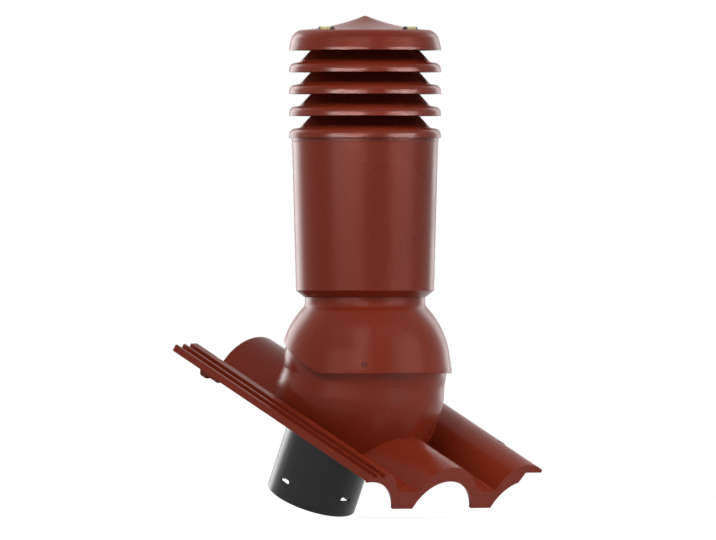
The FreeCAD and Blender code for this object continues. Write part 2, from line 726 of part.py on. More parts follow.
def shroud():
    """Tapered casing with a chamfered foot and a socket into the bell's neck."""
    socket_inner = SOCKET_RADIUS - SHROUD_WALL
    floor = NECK_TOP + SHROUD_WALL
    chamfer_foot = SHROUD_FOOT_RADIUS - SHROUD_WALL / 2
    band = SHROUD_TOP_RADIUS + SHROUD_BAND
    return turned(
        rz(socket_inner, NECK_TOP - SOCKET_DEPTH),
        rz(SOCKET_RADIUS, NECK_TOP - SOCKET_DEPTH),
        rz(SOCKET_RADIUS, NECK_TOP),
        rz(SHROUD_FOOT_RADIUS, NECK_TOP),
        rz(SHROUD_RADIUS, SHROUD_CHAMFER_Z),
        rz(SHROUD_TOP_RADIUS, SHROUD_BAND_Z),
        rz(band, SHROUD_BAND_Z + SHROUD_BAND),
        rz(band, SHROUD_TOP),
        rz(shroud_inner_radius(SHROUD_TOP), SHROUD_TOP),
        rz(shroud_inner_radius(SHROUD_CHAMFER_Z), SHROUD_CHAMFER_Z),
        rz(chamfer_foot, floor),
        rz(socket_inner, floor),
    )


def insulation_half(side):
    """Foam half shell between the duct and the shroud."""
    inner = DUCT_RADIUS + FOAM_GAP
    foam = turned(
        rz(inner, FOAM_BOTTOM),
        rz(shroud_inner_radius(FOAM_BOTTOM) - FOAM_GAP, FOAM_BOTTOM),
        rz(shroud_inner_radius(FOAM_TOP) - FOAM_GAP, FOAM_TOP),
        rz(inner, FOAM_TOP),
    )
    start = FOAM_GAP / 2 if side > 0 else -FAR - FOAM_GAP / 2
    return foam.common(Part.makeBox(FAR, 2 * FAR, 2 * FAR, Vector(start, -FAR, 0)))


def post_places(height):
    """Centres of the four posts of a louvre ring."""
    return [around(quarter * 90, POST_CIRCLE, height) for quarter in range(4)]


def post_bores(bottom, top):
    """Clearance bores for the tie screws."""
    return [rod(TIE_RADIUS + FIT, place, Z_AXIS, top - bottom) for place in post_places(bottom)]


def louvre_section():
    """Outline of a louvre ring: lip, rounded brim and cone of even wall."""
    corner = rz(LIP_RADIUS - LIP_DRAFT - BRIM_CORNER, LIP_STRAIGHT)
    inner_corner = BRIM_CORNER - LOUVRE_WALL
    slope = (CONE_FOOT_RADIUS - CONE_TOP_RADIUS) / (CONE_TOP_HEIGHT - CONE_FOOT_HEIGHT)
    cone_wall = LOUVRE_WALL * math.hypot(1, slope)
    under_brim = CONE_FOOT_HEIGHT - LOUVRE_WALL
    inner_top = CONE_TOP_RADIUS - cone_wall
    inner_foot = inner_top + slope * (CONE_TOP_HEIGHT - under_brim)
    return (
        rz(LIP_RADIUS, 0),
        rz(LIP_RADIUS - LIP_DRAFT, LIP_STRAIGHT),
        (corner + polar(BRIM_CORNER, 45), corner + polar(BRIM_CORNER, 0)),
        rz(CONE_FOOT_RADIUS, CONE_FOOT_HEIGHT),
        rz(CONE_TOP_RADIUS, CONE_TOP_HEIGHT),
        rz(inner_top, CONE_TOP_HEIGHT),
        rz(inner_foot, under_brim),
        corner + polar(inner_corner, 0),
        (corner + polar(inner_corner, 45), corner + polar(inner_corner, 90)),
        rz(LIP_RADIUS - LOUVRE_WALL, 0),
    )


def louvre_ring(lip_height, post_bottom):
    """Louvre ring with four posts that carry the ring above it."""
    ring = turned(*louvre_section())
    ring.translate(Vector(0, 0, lip_height))
    post_top = lip_height + POST_FOOT + LOUVRE_PITCH
    posts = [rod(POST_RADIUS, place, Z_AXIS, post_top - post_bottom) for place in post_places(post_bottom)]
    return union(ring, *posts).cut(post_bores(post_bottom, post_top))


def collar_sleeve_radius():
    """Sleeve of the collar, which slips into the top of the shroud."""
    return shroud_inner_radius(SHROUD_TOP - COLLAR_SLEEVE_DEPTH) - COLLAR_SLEEVE_SPACE


def louvre_collar():
    """Lowest louvre ring, with a sleeve and a ledge that seat on the shroud."""
    ring = louvre_ring(LOUVRE_BASE, CLOSING_Z + CLOSING_WALL)
    brim = LOUVRE_BASE + LIP_STRAIGHT + BRIM_CORNER - LOUVRE_WALL / 2
    bottom = SHROUD_TOP - COLLAR_SLEEVE_DEPTH
    sleeve_inner = collar_sleeve_radius() - COLLAR_SLEEVE_WALL
    sleeve = tube(collar_sleeve_radius(), sleeve_inner, bottom, brim)
    ledge = tube(shroud_inner_radius(SHROUD_TOP) + SHROUD_WALL / 2, sleeve_inner, SHROUD_TOP, brim)
    return union(ring, sleeve, ledge)


def closing_ring():
    """Lid over the insulation, clamped by the tie screws."""
    inner = DUCT_RADIUS + FIT
    outer = collar_sleeve_radius() - COLLAR_SLEEVE_WALL - FIT
    top = CLOSING_Z + CLOSING_WALL
    plate = tube(outer, inner, CLOSING_Z, top)
    rim = tube(inner + CLOSING_RIM_WALL, inner, CLOSING_Z, top + CLOSING_RIM)
    return union(plate, rim).cut(post_bores(CLOSING_Z, top))


def from_lip(place, inset):
    """Point of the cap's section, by its inset and rise from the lip's edge, moved in by a wall."""
    return rz(LIP_RADIUS - place[0] - inset, CAP_LIP + place[1])


def cap_form(inset):
    """Cap cover as a solid form, inset by a wall."""
    diagonal = inset / math.sqrt(2)
    down = Vector(0, 0, 1)
    edge = from_lip(CAP_EDGE, 0) - down * inset
    tip = rz(CAP_TIP_RADIUS, CAP_APEX - inset)
    return turned(
        rz(0, CAP_LIP),
        rz(LIP_RADIUS - inset, CAP_LIP),
        rz(LIP_RADIUS - LIP_DRAFT - inset, CAP_LIP + LIP_STRAIGHT),
        from_lip(CAP_SIDE, inset),
        (from_lip(CAP_SHOULDER, diagonal) - down * diagonal, edge),
        (rz(CAP_MID_RADIUS, CAP_LIP + CAP_MID_RISE - inset), tip),
        rz(0, CAP_APEX - inset),
    )


def vial_rod(azimuth, radius, start, length):
    """Bar along the cap's edge at a vial's place, from a distance off its middle."""
    along = around(azimuth + 90, 1, 0)
    middle = around(azimuth, LIP_RADIUS - VIAL_INSET, CAP_LIP + VIAL_RISE)
    return rod(radius, middle + along * start, along, length)


def cap_cover():
    """Conical cover with posts inside and two cradles for the level vials."""
    mould = cap_form(CAP_WALL / 2)
    shell = cap_form(0).cut(cap_form(CAP_WALL))
    post_bottom = CAP_LIP + POST_FOOT
    added = []
    holes = post_bores(post_bottom, TIE_END)
    for place in post_places(post_bottom):
        added.append(rod(POST_RADIUS, place, Z_AXIS, CAP_APEX - post_bottom).common(mould))
    whole = VIAL_LENGTH + 2 * VIAL_CAP_LENGTH
    for azimuth in VIAL_AZIMUTHS.values():
        pocket = whole + 2 * FIT
        cradle = pocket + 2 * CRADLE_WALL
        added.append(vial_rod(azimuth, VIAL_RADIUS + CRADLE_WALL, -cradle / 2, cradle).common(mould))
        holes.append(vial_rod(azimuth, VIAL_RADIUS + FIT, -pocket / 2, pocket))
    return union(shell, *added).cut(holes)


def tie_screws():
    """Four long screws from the closing ring up into the cap's posts."""
    screws = []
    for place in post_places(CLOSING_Z):
        head = rod(TIE_HEAD_RADIUS, place - Z_AXIS * TIE_HEAD_HEIGHT, Z_AXIS, TIE_HEAD_HEIGHT)
        shank = rod(TIE_RADIUS, place, Z_AXIS, TIE_END - CLOSING_Z)
        screws.append(head.fuse(shank))
    return Part.makeCompound(screws)


def vial_caps(azimuth):
    """The two end caps of a level vial."""
    starts = (-VIAL_LENGTH / 2 - VIAL_CAP_LENGTH, VIAL_LENGTH / 2)
    return Part.makeCompound([vial_rod(azimuth, VIAL_RADIUS, start, VIAL_CAP_LENGTH) for start in starts])


def place_on_roof(shape):
    """Tile frame to roof frame: batten bearing to the origin, then the pitch."""
    shape.translate(Vector(0, PAD_LENGTH / 2 - BATTEN_FACE, -BATTEN_LEVEL))
    shape.rotate(ORIGIN, X_AXIS, ROOF_PITCH)
    return shape


def place_plumb(shape):
    """Swivel frame to roof frame: the flue stays plumb about the dome's centre."""
    centre = Vector(0, DOME_V + PAD_LENGTH / 2 - BATTEN_FACE, DOME_W - BATTEN_LEVEL)
    shape.translate(Rotation(X_AXIS, ROOF_PITCH).multVec(centre))
    return shape


def base_pieces():
    """Pieces fixed to the roof."""
    return {
        "roof_tile": roof_tile(),
        "duct_spigot": duct_spigot(),
        "spigot_screws": spigot_screws(),
    }


def flue_pieces():
    """Pieces that swivel together to stand plumb."""
    pieces = {
        "swivel_bell": swivel_bell(),
        "bell_lock_screws": bell_lock_screws(),
        "duct_ball": duct_ball(),
        "ball_seal": ball_seal(),
        "inner_duct": inner_duct(),
        "neck_ring": neck_ring(),
        "shroud": shroud(),
        "insulation_half_left": insulation_half(-1),
        "insulation_half_right": insulation_half(1),
        "closing_ring": closing_ring(),
        "louvre_collar": louvre_collar(),
        "cap_cover": cap_cover(),
        "tie_screws": tie_screws(),
    }
    for index in range(1, LOUVRE_COUNT + 1):
        lip = LOUVRE_BASE + index * LOUVRE_PITCH
        pieces[f"louvre_ring_{index}"] = louvre_ring(lip, lip + POST_FOOT)
    for side, azimuth in VIAL_AZIMUTHS.items():
        pieces[f"level_vial_{side}"] = vial_rod(azimuth, VIAL_RADIUS, -VIAL_LENGTH / 2, VIAL_LENGTH)
        pieces[f"vial_caps_{side}"] = vial_caps(azimuth)
    return pieces


def export(name, shape):
    """Write one piece, and print what it holds."""
    shape.exportStep(f"parts/{name}.step")
    print(f"{name}: {len(shape.Solids)} solid(s), {shape.Volume / 1000:.1f} cm3, valid {shape.isValid()}")


def main():
    """Build and write every piece."""
    os.makedirs("parts", exist_ok=True)
    for name, shape in base_pieces().items():
        export(name, place_on_roof(shape))
    for name, shape in flue_pieces().items():
        export(name, place_plumb(shape))


main()
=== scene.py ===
"""Looks of a roof tile vent: double-roll tile, swivelling flue, louvred cap and duct spigot.

Sizes are in millimetres, in the tile's or the flue's own frame. Each finished mesh is in
metres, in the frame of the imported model.
"""

import json
import logging
import math
from dataclasses import dataclass, field
from enum import Enum
from typing import Any, Iterable, Sequence

import bmesh
import bpy
from mathutils import Matrix, Quaternion, Vector


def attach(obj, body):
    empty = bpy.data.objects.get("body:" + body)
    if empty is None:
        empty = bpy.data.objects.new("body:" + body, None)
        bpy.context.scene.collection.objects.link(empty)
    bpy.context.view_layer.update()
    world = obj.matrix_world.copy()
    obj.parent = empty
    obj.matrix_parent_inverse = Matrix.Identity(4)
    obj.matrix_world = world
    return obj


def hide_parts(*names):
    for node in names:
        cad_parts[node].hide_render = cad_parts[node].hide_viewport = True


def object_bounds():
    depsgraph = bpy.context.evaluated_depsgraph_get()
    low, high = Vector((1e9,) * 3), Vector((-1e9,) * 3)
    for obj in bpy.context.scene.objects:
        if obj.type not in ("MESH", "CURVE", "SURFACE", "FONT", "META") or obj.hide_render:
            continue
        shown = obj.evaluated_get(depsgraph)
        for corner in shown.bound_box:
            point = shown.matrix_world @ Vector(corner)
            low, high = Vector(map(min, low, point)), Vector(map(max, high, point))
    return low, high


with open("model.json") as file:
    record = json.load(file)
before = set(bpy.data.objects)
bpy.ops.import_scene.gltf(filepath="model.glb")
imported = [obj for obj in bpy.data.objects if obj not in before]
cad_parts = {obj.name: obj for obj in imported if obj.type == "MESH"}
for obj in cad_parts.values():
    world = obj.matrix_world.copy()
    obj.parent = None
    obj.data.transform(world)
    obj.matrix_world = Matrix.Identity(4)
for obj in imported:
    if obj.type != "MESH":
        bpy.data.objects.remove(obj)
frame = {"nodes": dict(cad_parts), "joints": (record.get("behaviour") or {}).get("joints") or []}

LOG = logging.getLogger("roof_tile_vent")
MM = 0.001
UP = Vector((0, 0, 1))
CAD_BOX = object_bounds()
SMOOTH_ANGLE = math.radians(32)
MERGE_DISTANCE = 2e-6
WELD_MM = 1e-5
ON_AXIS_MM = 1e-6
FULL_TURN_STEPS = 256
RING_STEPS = 144
BAR_STEPS = 48

Point = tuple[float, float]


class Body(Enum):
    """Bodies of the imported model."""

    BASE = "base"
    FLUE = "flue"


class Slot(Enum):
    """Material slots of the record."""

    RED = "red_plastic"
    BLACK = "black_plastic"
    FOAM = "foam"
    STEEL = "steel"
    SCREW_PAINT = "screw_paint"
    SEAL = "seal_rubber"
    VIAL = "vial_yellow"
    VIAL_BLACK = "vial_black"


def swivel_centre() -> Vector:
    """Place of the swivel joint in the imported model, in metres."""
    return Vector(frame["joints"][0]["pos_m"])


def flue_place() -> Matrix:
    """Matrix from the flue's own frame in millimetres to the model in metres."""
    return Matrix.Translation(swivel_centre()) @ Matrix.Scale(MM, 4)


# Finishes


def linear(hex_colour: str) -> tuple[float, float, float, float]:
    """Turn an sRGB colour into Blender's linear values.

    Args:
        hex_colour: Six hex digits, with or without a leading hash.

    Returns:
        Red, green, blue and an alpha of one.
    """
    digits = hex_colour.lstrip("#")
    parts = [int(digits[i : i + 2], 16) / 255 for i in (0, 2, 4)]
    red, green, blue = (c / 12.92 if c <= 0.04045 else ((c + 0.055) / 1.055) ** 2.4 for c in parts)
    return red, green, blue, 1.0


def add_node(
    tree: bpy.types.NodeTree,
    kind: str,
    settings: dict[str, Any] | None = None,
    values: dict[str | int, Any] | None = None,
    links: dict[str | int, bpy.types.NodeSocket] | None = None,
) -> bpy.types.Node:
    """Add a node with its settings, socket values and incoming links.

    Args:
        tree: Tree that takes the node.
        kind: Blender's name of the node type.
        settings: Properties of the node.
        values: Default values by socket name or index.
        links: Output sockets that feed the node's inputs.

    Returns:
        The new node.
    """
    node = tree.nodes.new(kind)
    for name, value in (settings or {}).items():
        setattr(node, name, value)
    for key, value in (values or {}).items():
        node.inputs[key].default_value = value
    for key, socket in (links or {}).items():
        tree.links.new(socket, node.inputs[key])
    return node


def blank_material(name: str) -> tuple[bpy.types.Material, bpy.types.Node, bpy.types.Node]:
    """Make a material that holds a Principled shader, its output and object coordinates.

    Args:
        name: Name of the material.

    Returns:
        The material, its Principled node and its Texture Coordinate node.
    """
    material = bpy.data.materials.new(name)
    material.use_nodes = True
    tree = material.node_tree
    tree.nodes.clear()
    shader = add_node(tree, "ShaderNodeBsdfPrincipled")
    add_node(tree, "ShaderNodeOutputMaterial", links={"Surface": shader.outputs["BSDF"]})
    return material, shader, add_node(tree, "ShaderNodeTexCoord")


@dataclass(frozen=True)
class MouldedPlastic:
    """Injection-moulded polypropylene: an even colour, a satin gloss and a spark-eroded grain."""

    name: str
    colour: str
    shade: str
    roughness: tuple[float, float]
    specular: float = 0.5
    ior: float = 1.49
    flow_mm: float = 70.0
    grain_mm: float = 1.1
    grain_depth_mm: float = 0.008
    edge_mm: float = 0.3

    def material(self) -> bpy.types.Material:
        """Build the material: slow clouds in the colour and gloss, and the mould's fine grain.

        Returns:
            The material.
        """
        material, shader, where = blank_material(self.name)
        tree = material.node_tree
        flow = add_node(
            tree,
            "ShaderNodeTexNoise",
            values={"Scale": 1 / (self.flow_mm * MM), "Detail": 3.0, "Roughness": 0.55},
            links={"Vector": where.outputs["Object"]},
        )
        mixed = add_node(
            tree,
            "ShaderNodeMix",
            {"data_type": "RGBA"},
            {6: linear(self.colour), 7: linear(self.shade)},
            {0: flow.outputs["Fac"]},
        )
        gloss = add_node(
            tree,
            "ShaderNodeMapRange",
            {"interpolation_type": "SMOOTHSTEP"},
            {"From Min": 0.15, "From Max": 0.85, "To Min": self.roughness[0], "To Max": self.roughness[1]},
            {"Value": flow.outputs["Fac"]},
        )
        grain = add_node(
            tree,
            "ShaderNodeTexNoise",
            values={"Scale": 1 / (self.grain_mm * MM), "Detail": 2.0, "Roughness": 0.6},
            links={"Vector": where.outputs["Object"]},
        )
        edge = add_node(tree, "ShaderNodeBevel", {"samples": 4}, {"Radius": self.edge_mm * MM})
        bump = add_node(
            tree,
            "ShaderNodeBump",
            values={"Strength": 1.0, "Distance": self.grain_depth_mm * MM},
            links={"Height": grain.outputs["Fac"], "Normal": edge.outputs["Normal"]},
        )
        tree.links.new(mixed.outputs[2], shader.inputs["Base Color"])
        tree.links.new(gloss.outputs["Result"], shader.inputs["Roughness"])
        tree.links.new(bump.outputs["Normal"], shader.inputs["Normal"])
        shader.inputs["IOR"].default_value = self.ior
        shader.inputs["Specular IOR Level"].default_value = self.specular
        return material


@dataclass(frozen=True)
class CellFoam:
    """Moulded polystyrene foam: pale beads a few millimetres wide, quite matt."""

    name: str
    colour: str
    seam: str
    bead_mm: float = 3.5
    seam_share: float = 0.12
    seam_depth_mm: float = 0.3
    roughness: float = 0.85
    ior: float = 1.5

    def material(self) -> bpy.types.Material:
        """Build the material: beads with darker, lower seams between them.

        Returns:
            The material.
        """
        material, shader, where = blank_material(self.name)
        tree = material.node_tree
        beads = add_node(
            tree,
            "ShaderNodeTexVoronoi",
            {"feature": "DISTANCE_TO_EDGE"},
            {"Scale": 1 / (self.bead_mm * MM)},
            {"Vector": where.outputs["Object"]},
        )
        seam = add_node(
            tree,
            "ShaderNodeMapRange",
            values={"From Min": 0.0, "From Max": self.seam_share},
            links={"Value": beads.outputs["Distance"]},
        )
        mixed = add_node(
            tree,
            "ShaderNodeMix",
            {"data_type": "RGBA"},
            {6: linear(self.seam), 7: linear(self.colour)},
            {0: seam.outputs["Result"]},
        )
        bump = add_node(
            tree,
            "ShaderNodeBump",
            values={"Distance": self.seam_depth_mm * MM},
            links={"Height": seam.outputs["Result"]},
        )
        tree.links.new(mixed.outputs[2], shader.inputs["Base Color"])
        tree.links.new(bump.outputs["Normal"], shader.inputs["Normal"])
        shader.inputs["Roughness"].default_value = self.roughness
        shader.inputs["IOR"].default_value = self.ior
        return material


@dataclass(frozen=True)
class ZincPlate:
    """Zinc-plated steel: bright, faintly clouded by the plating."""

    name: str
    colour: str
    metallic: float = 1.0
    roughness: tuple[float, float] = (0.25, 0.45)
    cloud_mm: float = 3.0

    def material(self) -> bpy.types.Material:
        """Build the material: plating clouds in the gloss.

        Returns:
            The material.
        """
        material, shader, where = blank_material(self.name)
        tree = material.node_tree
        cloud = add_node(
            tree,
            "ShaderNodeTexNoise",
            values={"Scale": 1 / (self.cloud_mm * MM), "Detail": 4.0},
            links={"Vector": where.outputs["Object"]},
        )
        gloss = add_node(
            tree,
            "ShaderNodeMapRange",
            values={"To Min": self.roughness[0], "To Max": self.roughness[1]},
            links={"Value": cloud.outputs["Fac"]},
        )
        tree.links.new(gloss.outputs["Result"], shader.inputs["Roughness"])
        shader.inputs["Base Color"].default_value = linear(self.colour)
        shader.inputs["Metallic"].default_value = self.metallic
        return material


@dataclass(frozen=True)
class VialAcrylic:
    """Cast acrylic vial filled with yellow-green level fluid: clear, glossy, lit from within."""

    name: str
    colour: str
    streak: str
    transmission: float = 0.35
    roughness: float = 0.08
    ior: float = 1.49
    streak_mm: float = 4.0

    def material(self) -> bpy.types.Material:
        """Build the material: faint streaks in the fluid, under a glossy wall.

        Returns:
            The material.
        """
        material, shader, where = blank_material(self.name)
        tree = material.node_tree
        streak = add_node(
            tree,
            "ShaderNodeTexNoise",
            values={"Scale": 1 / (self.streak_mm * MM), "Detail": 1.0},
            links={"Vector": where.outputs["Object"]},
        )
        mixed = add_node(
            tree,
            "ShaderNodeMix",
            {"data_type": "RGBA"},
            {6: linear(self.colour), 7: linear(self.streak)},
            {0: streak.outputs["Fac"]},
        )
        tree.links.new(mixed.outputs[2], shader.inputs["Base Color"])
        shader.inputs["Transmission Weight"].default_value = self.transmission
        shader.inputs["Roughness"].default_value = self.roughness
        shader.inputs["IOR"].default_value = self.ior
        return material


# Polypropylene, coloured through and injection-moulded: an even red-brown with a soft shine in
# broad streaks, and a mould grain so fine that it only dulls the shine. The real grain is nearer
# 0.1 mm and is drawn at 1.1 mm, so that it still shows close up.
RED_PLASTIC = MouldedPlastic("red_brown_polypropylene", "782714", "6d2310", (0.24, 0.32), 0.15)
# The same polypropylene with carbon black: nearly black, its edges lit by a dull grey shine.
BLACK_PLASTIC = MouldedPlastic("black_polypropylene", "151516", "111112", (0.3, 0.38), 0.3)
# Expanded polystyrene, steamed in a mould: matt pale grey beads with a dark line round each.
FOAM = CellFoam("grey_bead_foam", "c3c4c6", "8d8e90")
# Nitrile rubber, pressed in a mould: black and almost without shine.
SEAL_RUBBER = MouldedPlastic(
    "black_nitrile_rubber", "141414", "0f0f0f", (0.6, 0.7), specular=0.5, ior=1.52, flow_mm=20.0, grain_mm=0.6
)
# Steel with a galvanic coat of zinc: a bright cool grey with faint clouds in its gloss.
ZINC = ZincPlate("zinc_plated_steel", "b9bcc0")
# Stoved enamel on the screw heads: the roof's red-brown, a little glossier than the plastic.
SCREW_PAINT = MouldedPlastic(
    "red_brown_screw_enamel",
    "74281a",
    "6a2316",
    (0.3, 0.36),
    specular=0.3,
    ior=1.5,
    flow_mm=8.0,
    grain_mm=0.8,
    grain_depth_mm=0.005,
    edge_mm=0.2,
)
# Cast acrylic round a dyed fluid: a clear, glossy yellow that glows a little from within.
VIAL_YELLOW = VialAcrylic("yellow_vial_acrylic", "e3d46e", "f4ecb8")
# Moulded end caps of the vials: black, with a crisp small highlight.
VIAL_END = MouldedPlastic(
    "black_vial_end_plastic",
    "121212",
    "0d0d0d",
    (0.22, 0.3),
    specular=0.5,
    ior=1.5,
    flow_mm=8.0,
    grain_mm=0.8,
    grain_depth_mm=0.005,
    edge_mm=0.2,
)


@dataclass
class Palette:
    """One finished material for each slot of the record."""

    finishes: dict[Slot, Any] = field(
        default_factory=lambda: {
            Slot.RED: RED_PLASTIC,
            Slot.BLACK: BLACK_PLASTIC,
            Slot.FOAM: FOAM,
            Slot.STEEL: ZINC,
            Slot.SCREW_PAINT: SCREW_PAINT,
            Slot.SEAL: SEAL_RUBBER,
            Slot.VIAL: VIAL_YELLOW,
            Slot.VIAL_BLACK: VIAL_END,
        }
    )
    made: dict[Slot, bpy.types.Material] = field(default_factory=dict)

    def material(self, slot: Slot) -> bpy.types.Material:
        """Material of a slot, built on first use.

        Args:
            slot: Material slot of the record.

        Returns:
            The slot's one material.
        """
        if slot not in self.made:
            self.made[slot] = self.finishes[slot].material()
        return self.made[slot]


# Outlines: closed runs of (distance, height) points, in millimetres


def arc(centre: Point, radius: float, start: float, end: float, step: float = 3.0) -> list[Point]:
    """Points on an arc, both ends included.

    Args:
        centre: Centre of the arc.
        radius: Radius.
        start: First angle from the height axis, in degrees, growing towards the distance axis.
        end: Last angle.
        step: Largest angle between two points.

    Returns:
        The points, in order.
    """
    count = max(1, math.ceil(abs(end - start) / step))
    angles = [math.radians(start + (end - start) * i / count) for i in range(count + 1)]
    return [(centre[0] + radius * math.sin(a), centre[1] + radius * math.cos(a)) for a in angles]


def through(start: Point, middle: Point, end: Point, count: int = 24) -> list[Point]:
    """Points on the circle through three points, without its first point.

    Args:
        start: First point, left out of the result.
        middle: Point between them.
        end: Last point.
        count: Straight runs.

    Returns:
        The points, in order.
    """
    ax, ay = middle[0] - start[0], middle[1] - start[1]
    bx, by = end[0] - start[0], end[1] - start[1]
    twice = 2 * (ax * by - ay * bx)
    ux = (by * (ax * ax + ay * ay) - ay * (bx * bx + by * by)) / twice
    uy = (ax * (bx * bx + by * by) - bx * (ax * ax + ay * ay)) / twice
    centre = (start[0] + ux, start[1] + uy)
    radius = math.hypot(ux, uy)
    first = math.degrees(math.atan2(start[0] - centre[0], start[1] - centre[1]))
    last = math.degrees(math.atan2(end[0] - centre[0], end[1] - centre[1]))
    turn = (last - first + 180) % 360 - 180
    return arc(centre, radius, first, first + turn, abs(turn) / count)[1:]


def eased(corners: Sequence[tuple[float, float] | tuple[float, float, float]], steps: int = 4) -> list[Point]:
    """Closed outline whose marked corners are rounded.

    Args:
        corners: Points, each with an optional rounding radius as its third value.
        steps: Straight runs in each rounded corner.

    Returns:
        The outline's points.
    """
    made: list[Point] = []
    for index, corner in enumerate(corners):
        here = Vector(corner[:2])
        radius = corner[2] if len(corner) > 2 else 0.0
        if radius <= 0:
            made.append((here.x, here.y))
            continue
        before = (Vector(corners[index - 1][:2]) - here).normalized()
        after = (Vector(corners[(index + 1) % len(corners)][:2]) - here).normalized()
        half = before.angle(after) / 2
        reach = radius / math.tan(half)
        first, last = here + before * reach, here + after * reach
        hub = here + (before + after).normalized() * (radius / math.sin(half))
        spokes = [(first - hub).lerp(last - hub, i / steps).normalized() for i in range(steps + 1)]
        made += [tuple(hub + spoke * radius) for spoke in spokes]
    return made


# Meshes


def mesh_object(name: str, mesh: bpy.types.Mesh) -> bpy.types.Object:
    """Link a mesh to the scene as an object at the origin.

    Args:
        name: Name of the object.
        mesh: Its mesh.

    Returns:
        The object.
    """
    made = bpy.data.objects.new(name, mesh)
    bpy.context.scene.collection.objects.link(made)
    return made


def from_bmesh(name: str, shape: bmesh.types.BMesh) -> bpy.types.Object:
    """Turn a bmesh into an object with clean outward faces.

    Args:
        name: Name of the piece.
        shape: The bmesh, freed afterwards.

    Returns:
        The object.
    """
    bmesh.ops.remove_doubles(shape, verts=shape.verts, dist=WELD_MM)
    bmesh.ops.recalc_face_normals(shape, faces=shape.faces)
    mesh = bpy.data.meshes.new(name)
    shape.to_mesh(mesh)
    shape.free()
    return mesh_object(name, mesh)


def turned(name: str, outline: Sequence[Point], segments: int = 192) -> bpy.types.Object:
    """Turn a closed outline about the height axis.

    Args:
        name: Name of the piece.
        outline: Closed run of (radius, height) points.
        segments: Steps round the axis.

    Returns:
        The solid, in millimetres. It is closed where the outline stays off the axis or starts
        from height zero. High above zero, some points on the axis stay unwelded and leave it open.
    """
    shape = bmesh.new()
    rings = []
    for step in range(segments):
        angle = 2 * math.pi * step / segments
        turn = (math.cos(angle), math.sin(angle))
        rings.append([shape.verts.new((r * turn[0], r * turn[1], z)) for r, z in outline])
    count = len(outline)
    for step in range(segments):
        here, after = rings[step], rings[(step + 1) % segments]
        for i in range(count):
            j = (i + 1) % count
            if outline[i][0] < ON_AXIS_MM and outline[j][0] < ON_AXIS_MM:
                continue
            corners = [here[i], here[j], after[j], after[i]]
            if outline[i][0] < ON_AXIS_MM:
                corners = [here[i], here[j], after[j]]
            elif outline[j][0] < ON_AXIS_MM:
                corners = [here[i], here[j], after[i]]
            shape.faces.new(corners)
    return from_bmesh(name, shape)


def prism(name: str, outline: Sequence[Point], start: float, length: float) -> bpy.types.Object:
    """Run an outline in the XZ plane along Y.

    Args:
        name: Name of the piece.
        outline: Closed run of (x, z) points.
        start: First Y.
        length: Length along Y.

    Returns:
        The closed solid, in millimetres.
    """
    shape = bmesh.new()
    first = [shape.verts.new((x, start, z)) for x, z in outline]
    last = [shape.verts.new((x, start + length, z)) for x, z in outline]
    shape.faces.new(first)
    shape.faces.new(list(reversed(last)))
    for i in range(len(outline)):
        j = (i + 1) % len(outline)
        shape.faces.new([first[i], last[i], last[j], first[j]])
    return from_bmesh(name, shape)


def bar(name: str, outline: Sequence[Point], start: Vector, direction: Vector) -> bpy.types.Object:
    """Turned piece with its axis along a direction, from a starting point.

    Args:
        name: Name of the piece.
        outline: Closed run of (radius, height) points.
        start: Place of the outline's origin.
        direction: Direction of the axis.

    Returns:
        The closed solid, in millimetres.
    """
    piece = turned(name, outline, BAR_STEPS)
    turn = UP.rotation_difference(direction)
    piece.data.transform(Matrix.Translation(start) @ turn.to_matrix().to_4x4())
    return piece


def quarter_places(circle: float) -> list[Vector]:
    """Four places round the axis, a quarter turn apart.

    Args:
        circle: Radius of the circle that they are on.

    Returns:
        The places, at height zero.
    """
    angles = [math.radians(90 * quarter) for quarter in range(4)]
    return [Vector((circle * math.cos(a), circle * math.sin(a), 0)) for a in angles]


def rod(radius: float, start: float, end: float) -> list[Point]:
    """Outline of a plain round rod or hole along the axis."""
    return [(0, start), (radius, start), (radius, end), (0, end)]


def baked(piece: bpy.types.Object) -> bpy.types.Object:
    """Apply a piece's modifiers, so that only a plain mesh is left.

    Args:
        piece: The piece.

    Returns:
        The same object with its new mesh.
    """
    graph = bpy.context.evaluated_depsgraph_get()
    mesh = bpy.data.meshes.new_from_object(piece.evaluated_get(graph))
    piece.modifiers.clear()
    piece.data = mesh
    return piece


def combined(piece: bpy.types.Object, operation: str, others: Iterable[bpy.types.Object]) -> bpy.types.Object:
    """Cut other solids out of a piece, or join them to it, and remove them.

    The solver takes closed solids only. With an open one it prints an error and changes nothing.

    Args:
        piece: Solid that is changed.
        operation: DIFFERENCE, UNION or INTERSECT.
        others: Solids that are used up.

    Returns:
        The changed piece.
    """
    for other in others:
        modifier = piece.modifiers.new("solid", "BOOLEAN")
        modifier.object = other
        modifier.operation = operation
        modifier.solver = "MANIFOLD"
        baked(piece)
        bpy.data.objects.remove(other)
    return piece


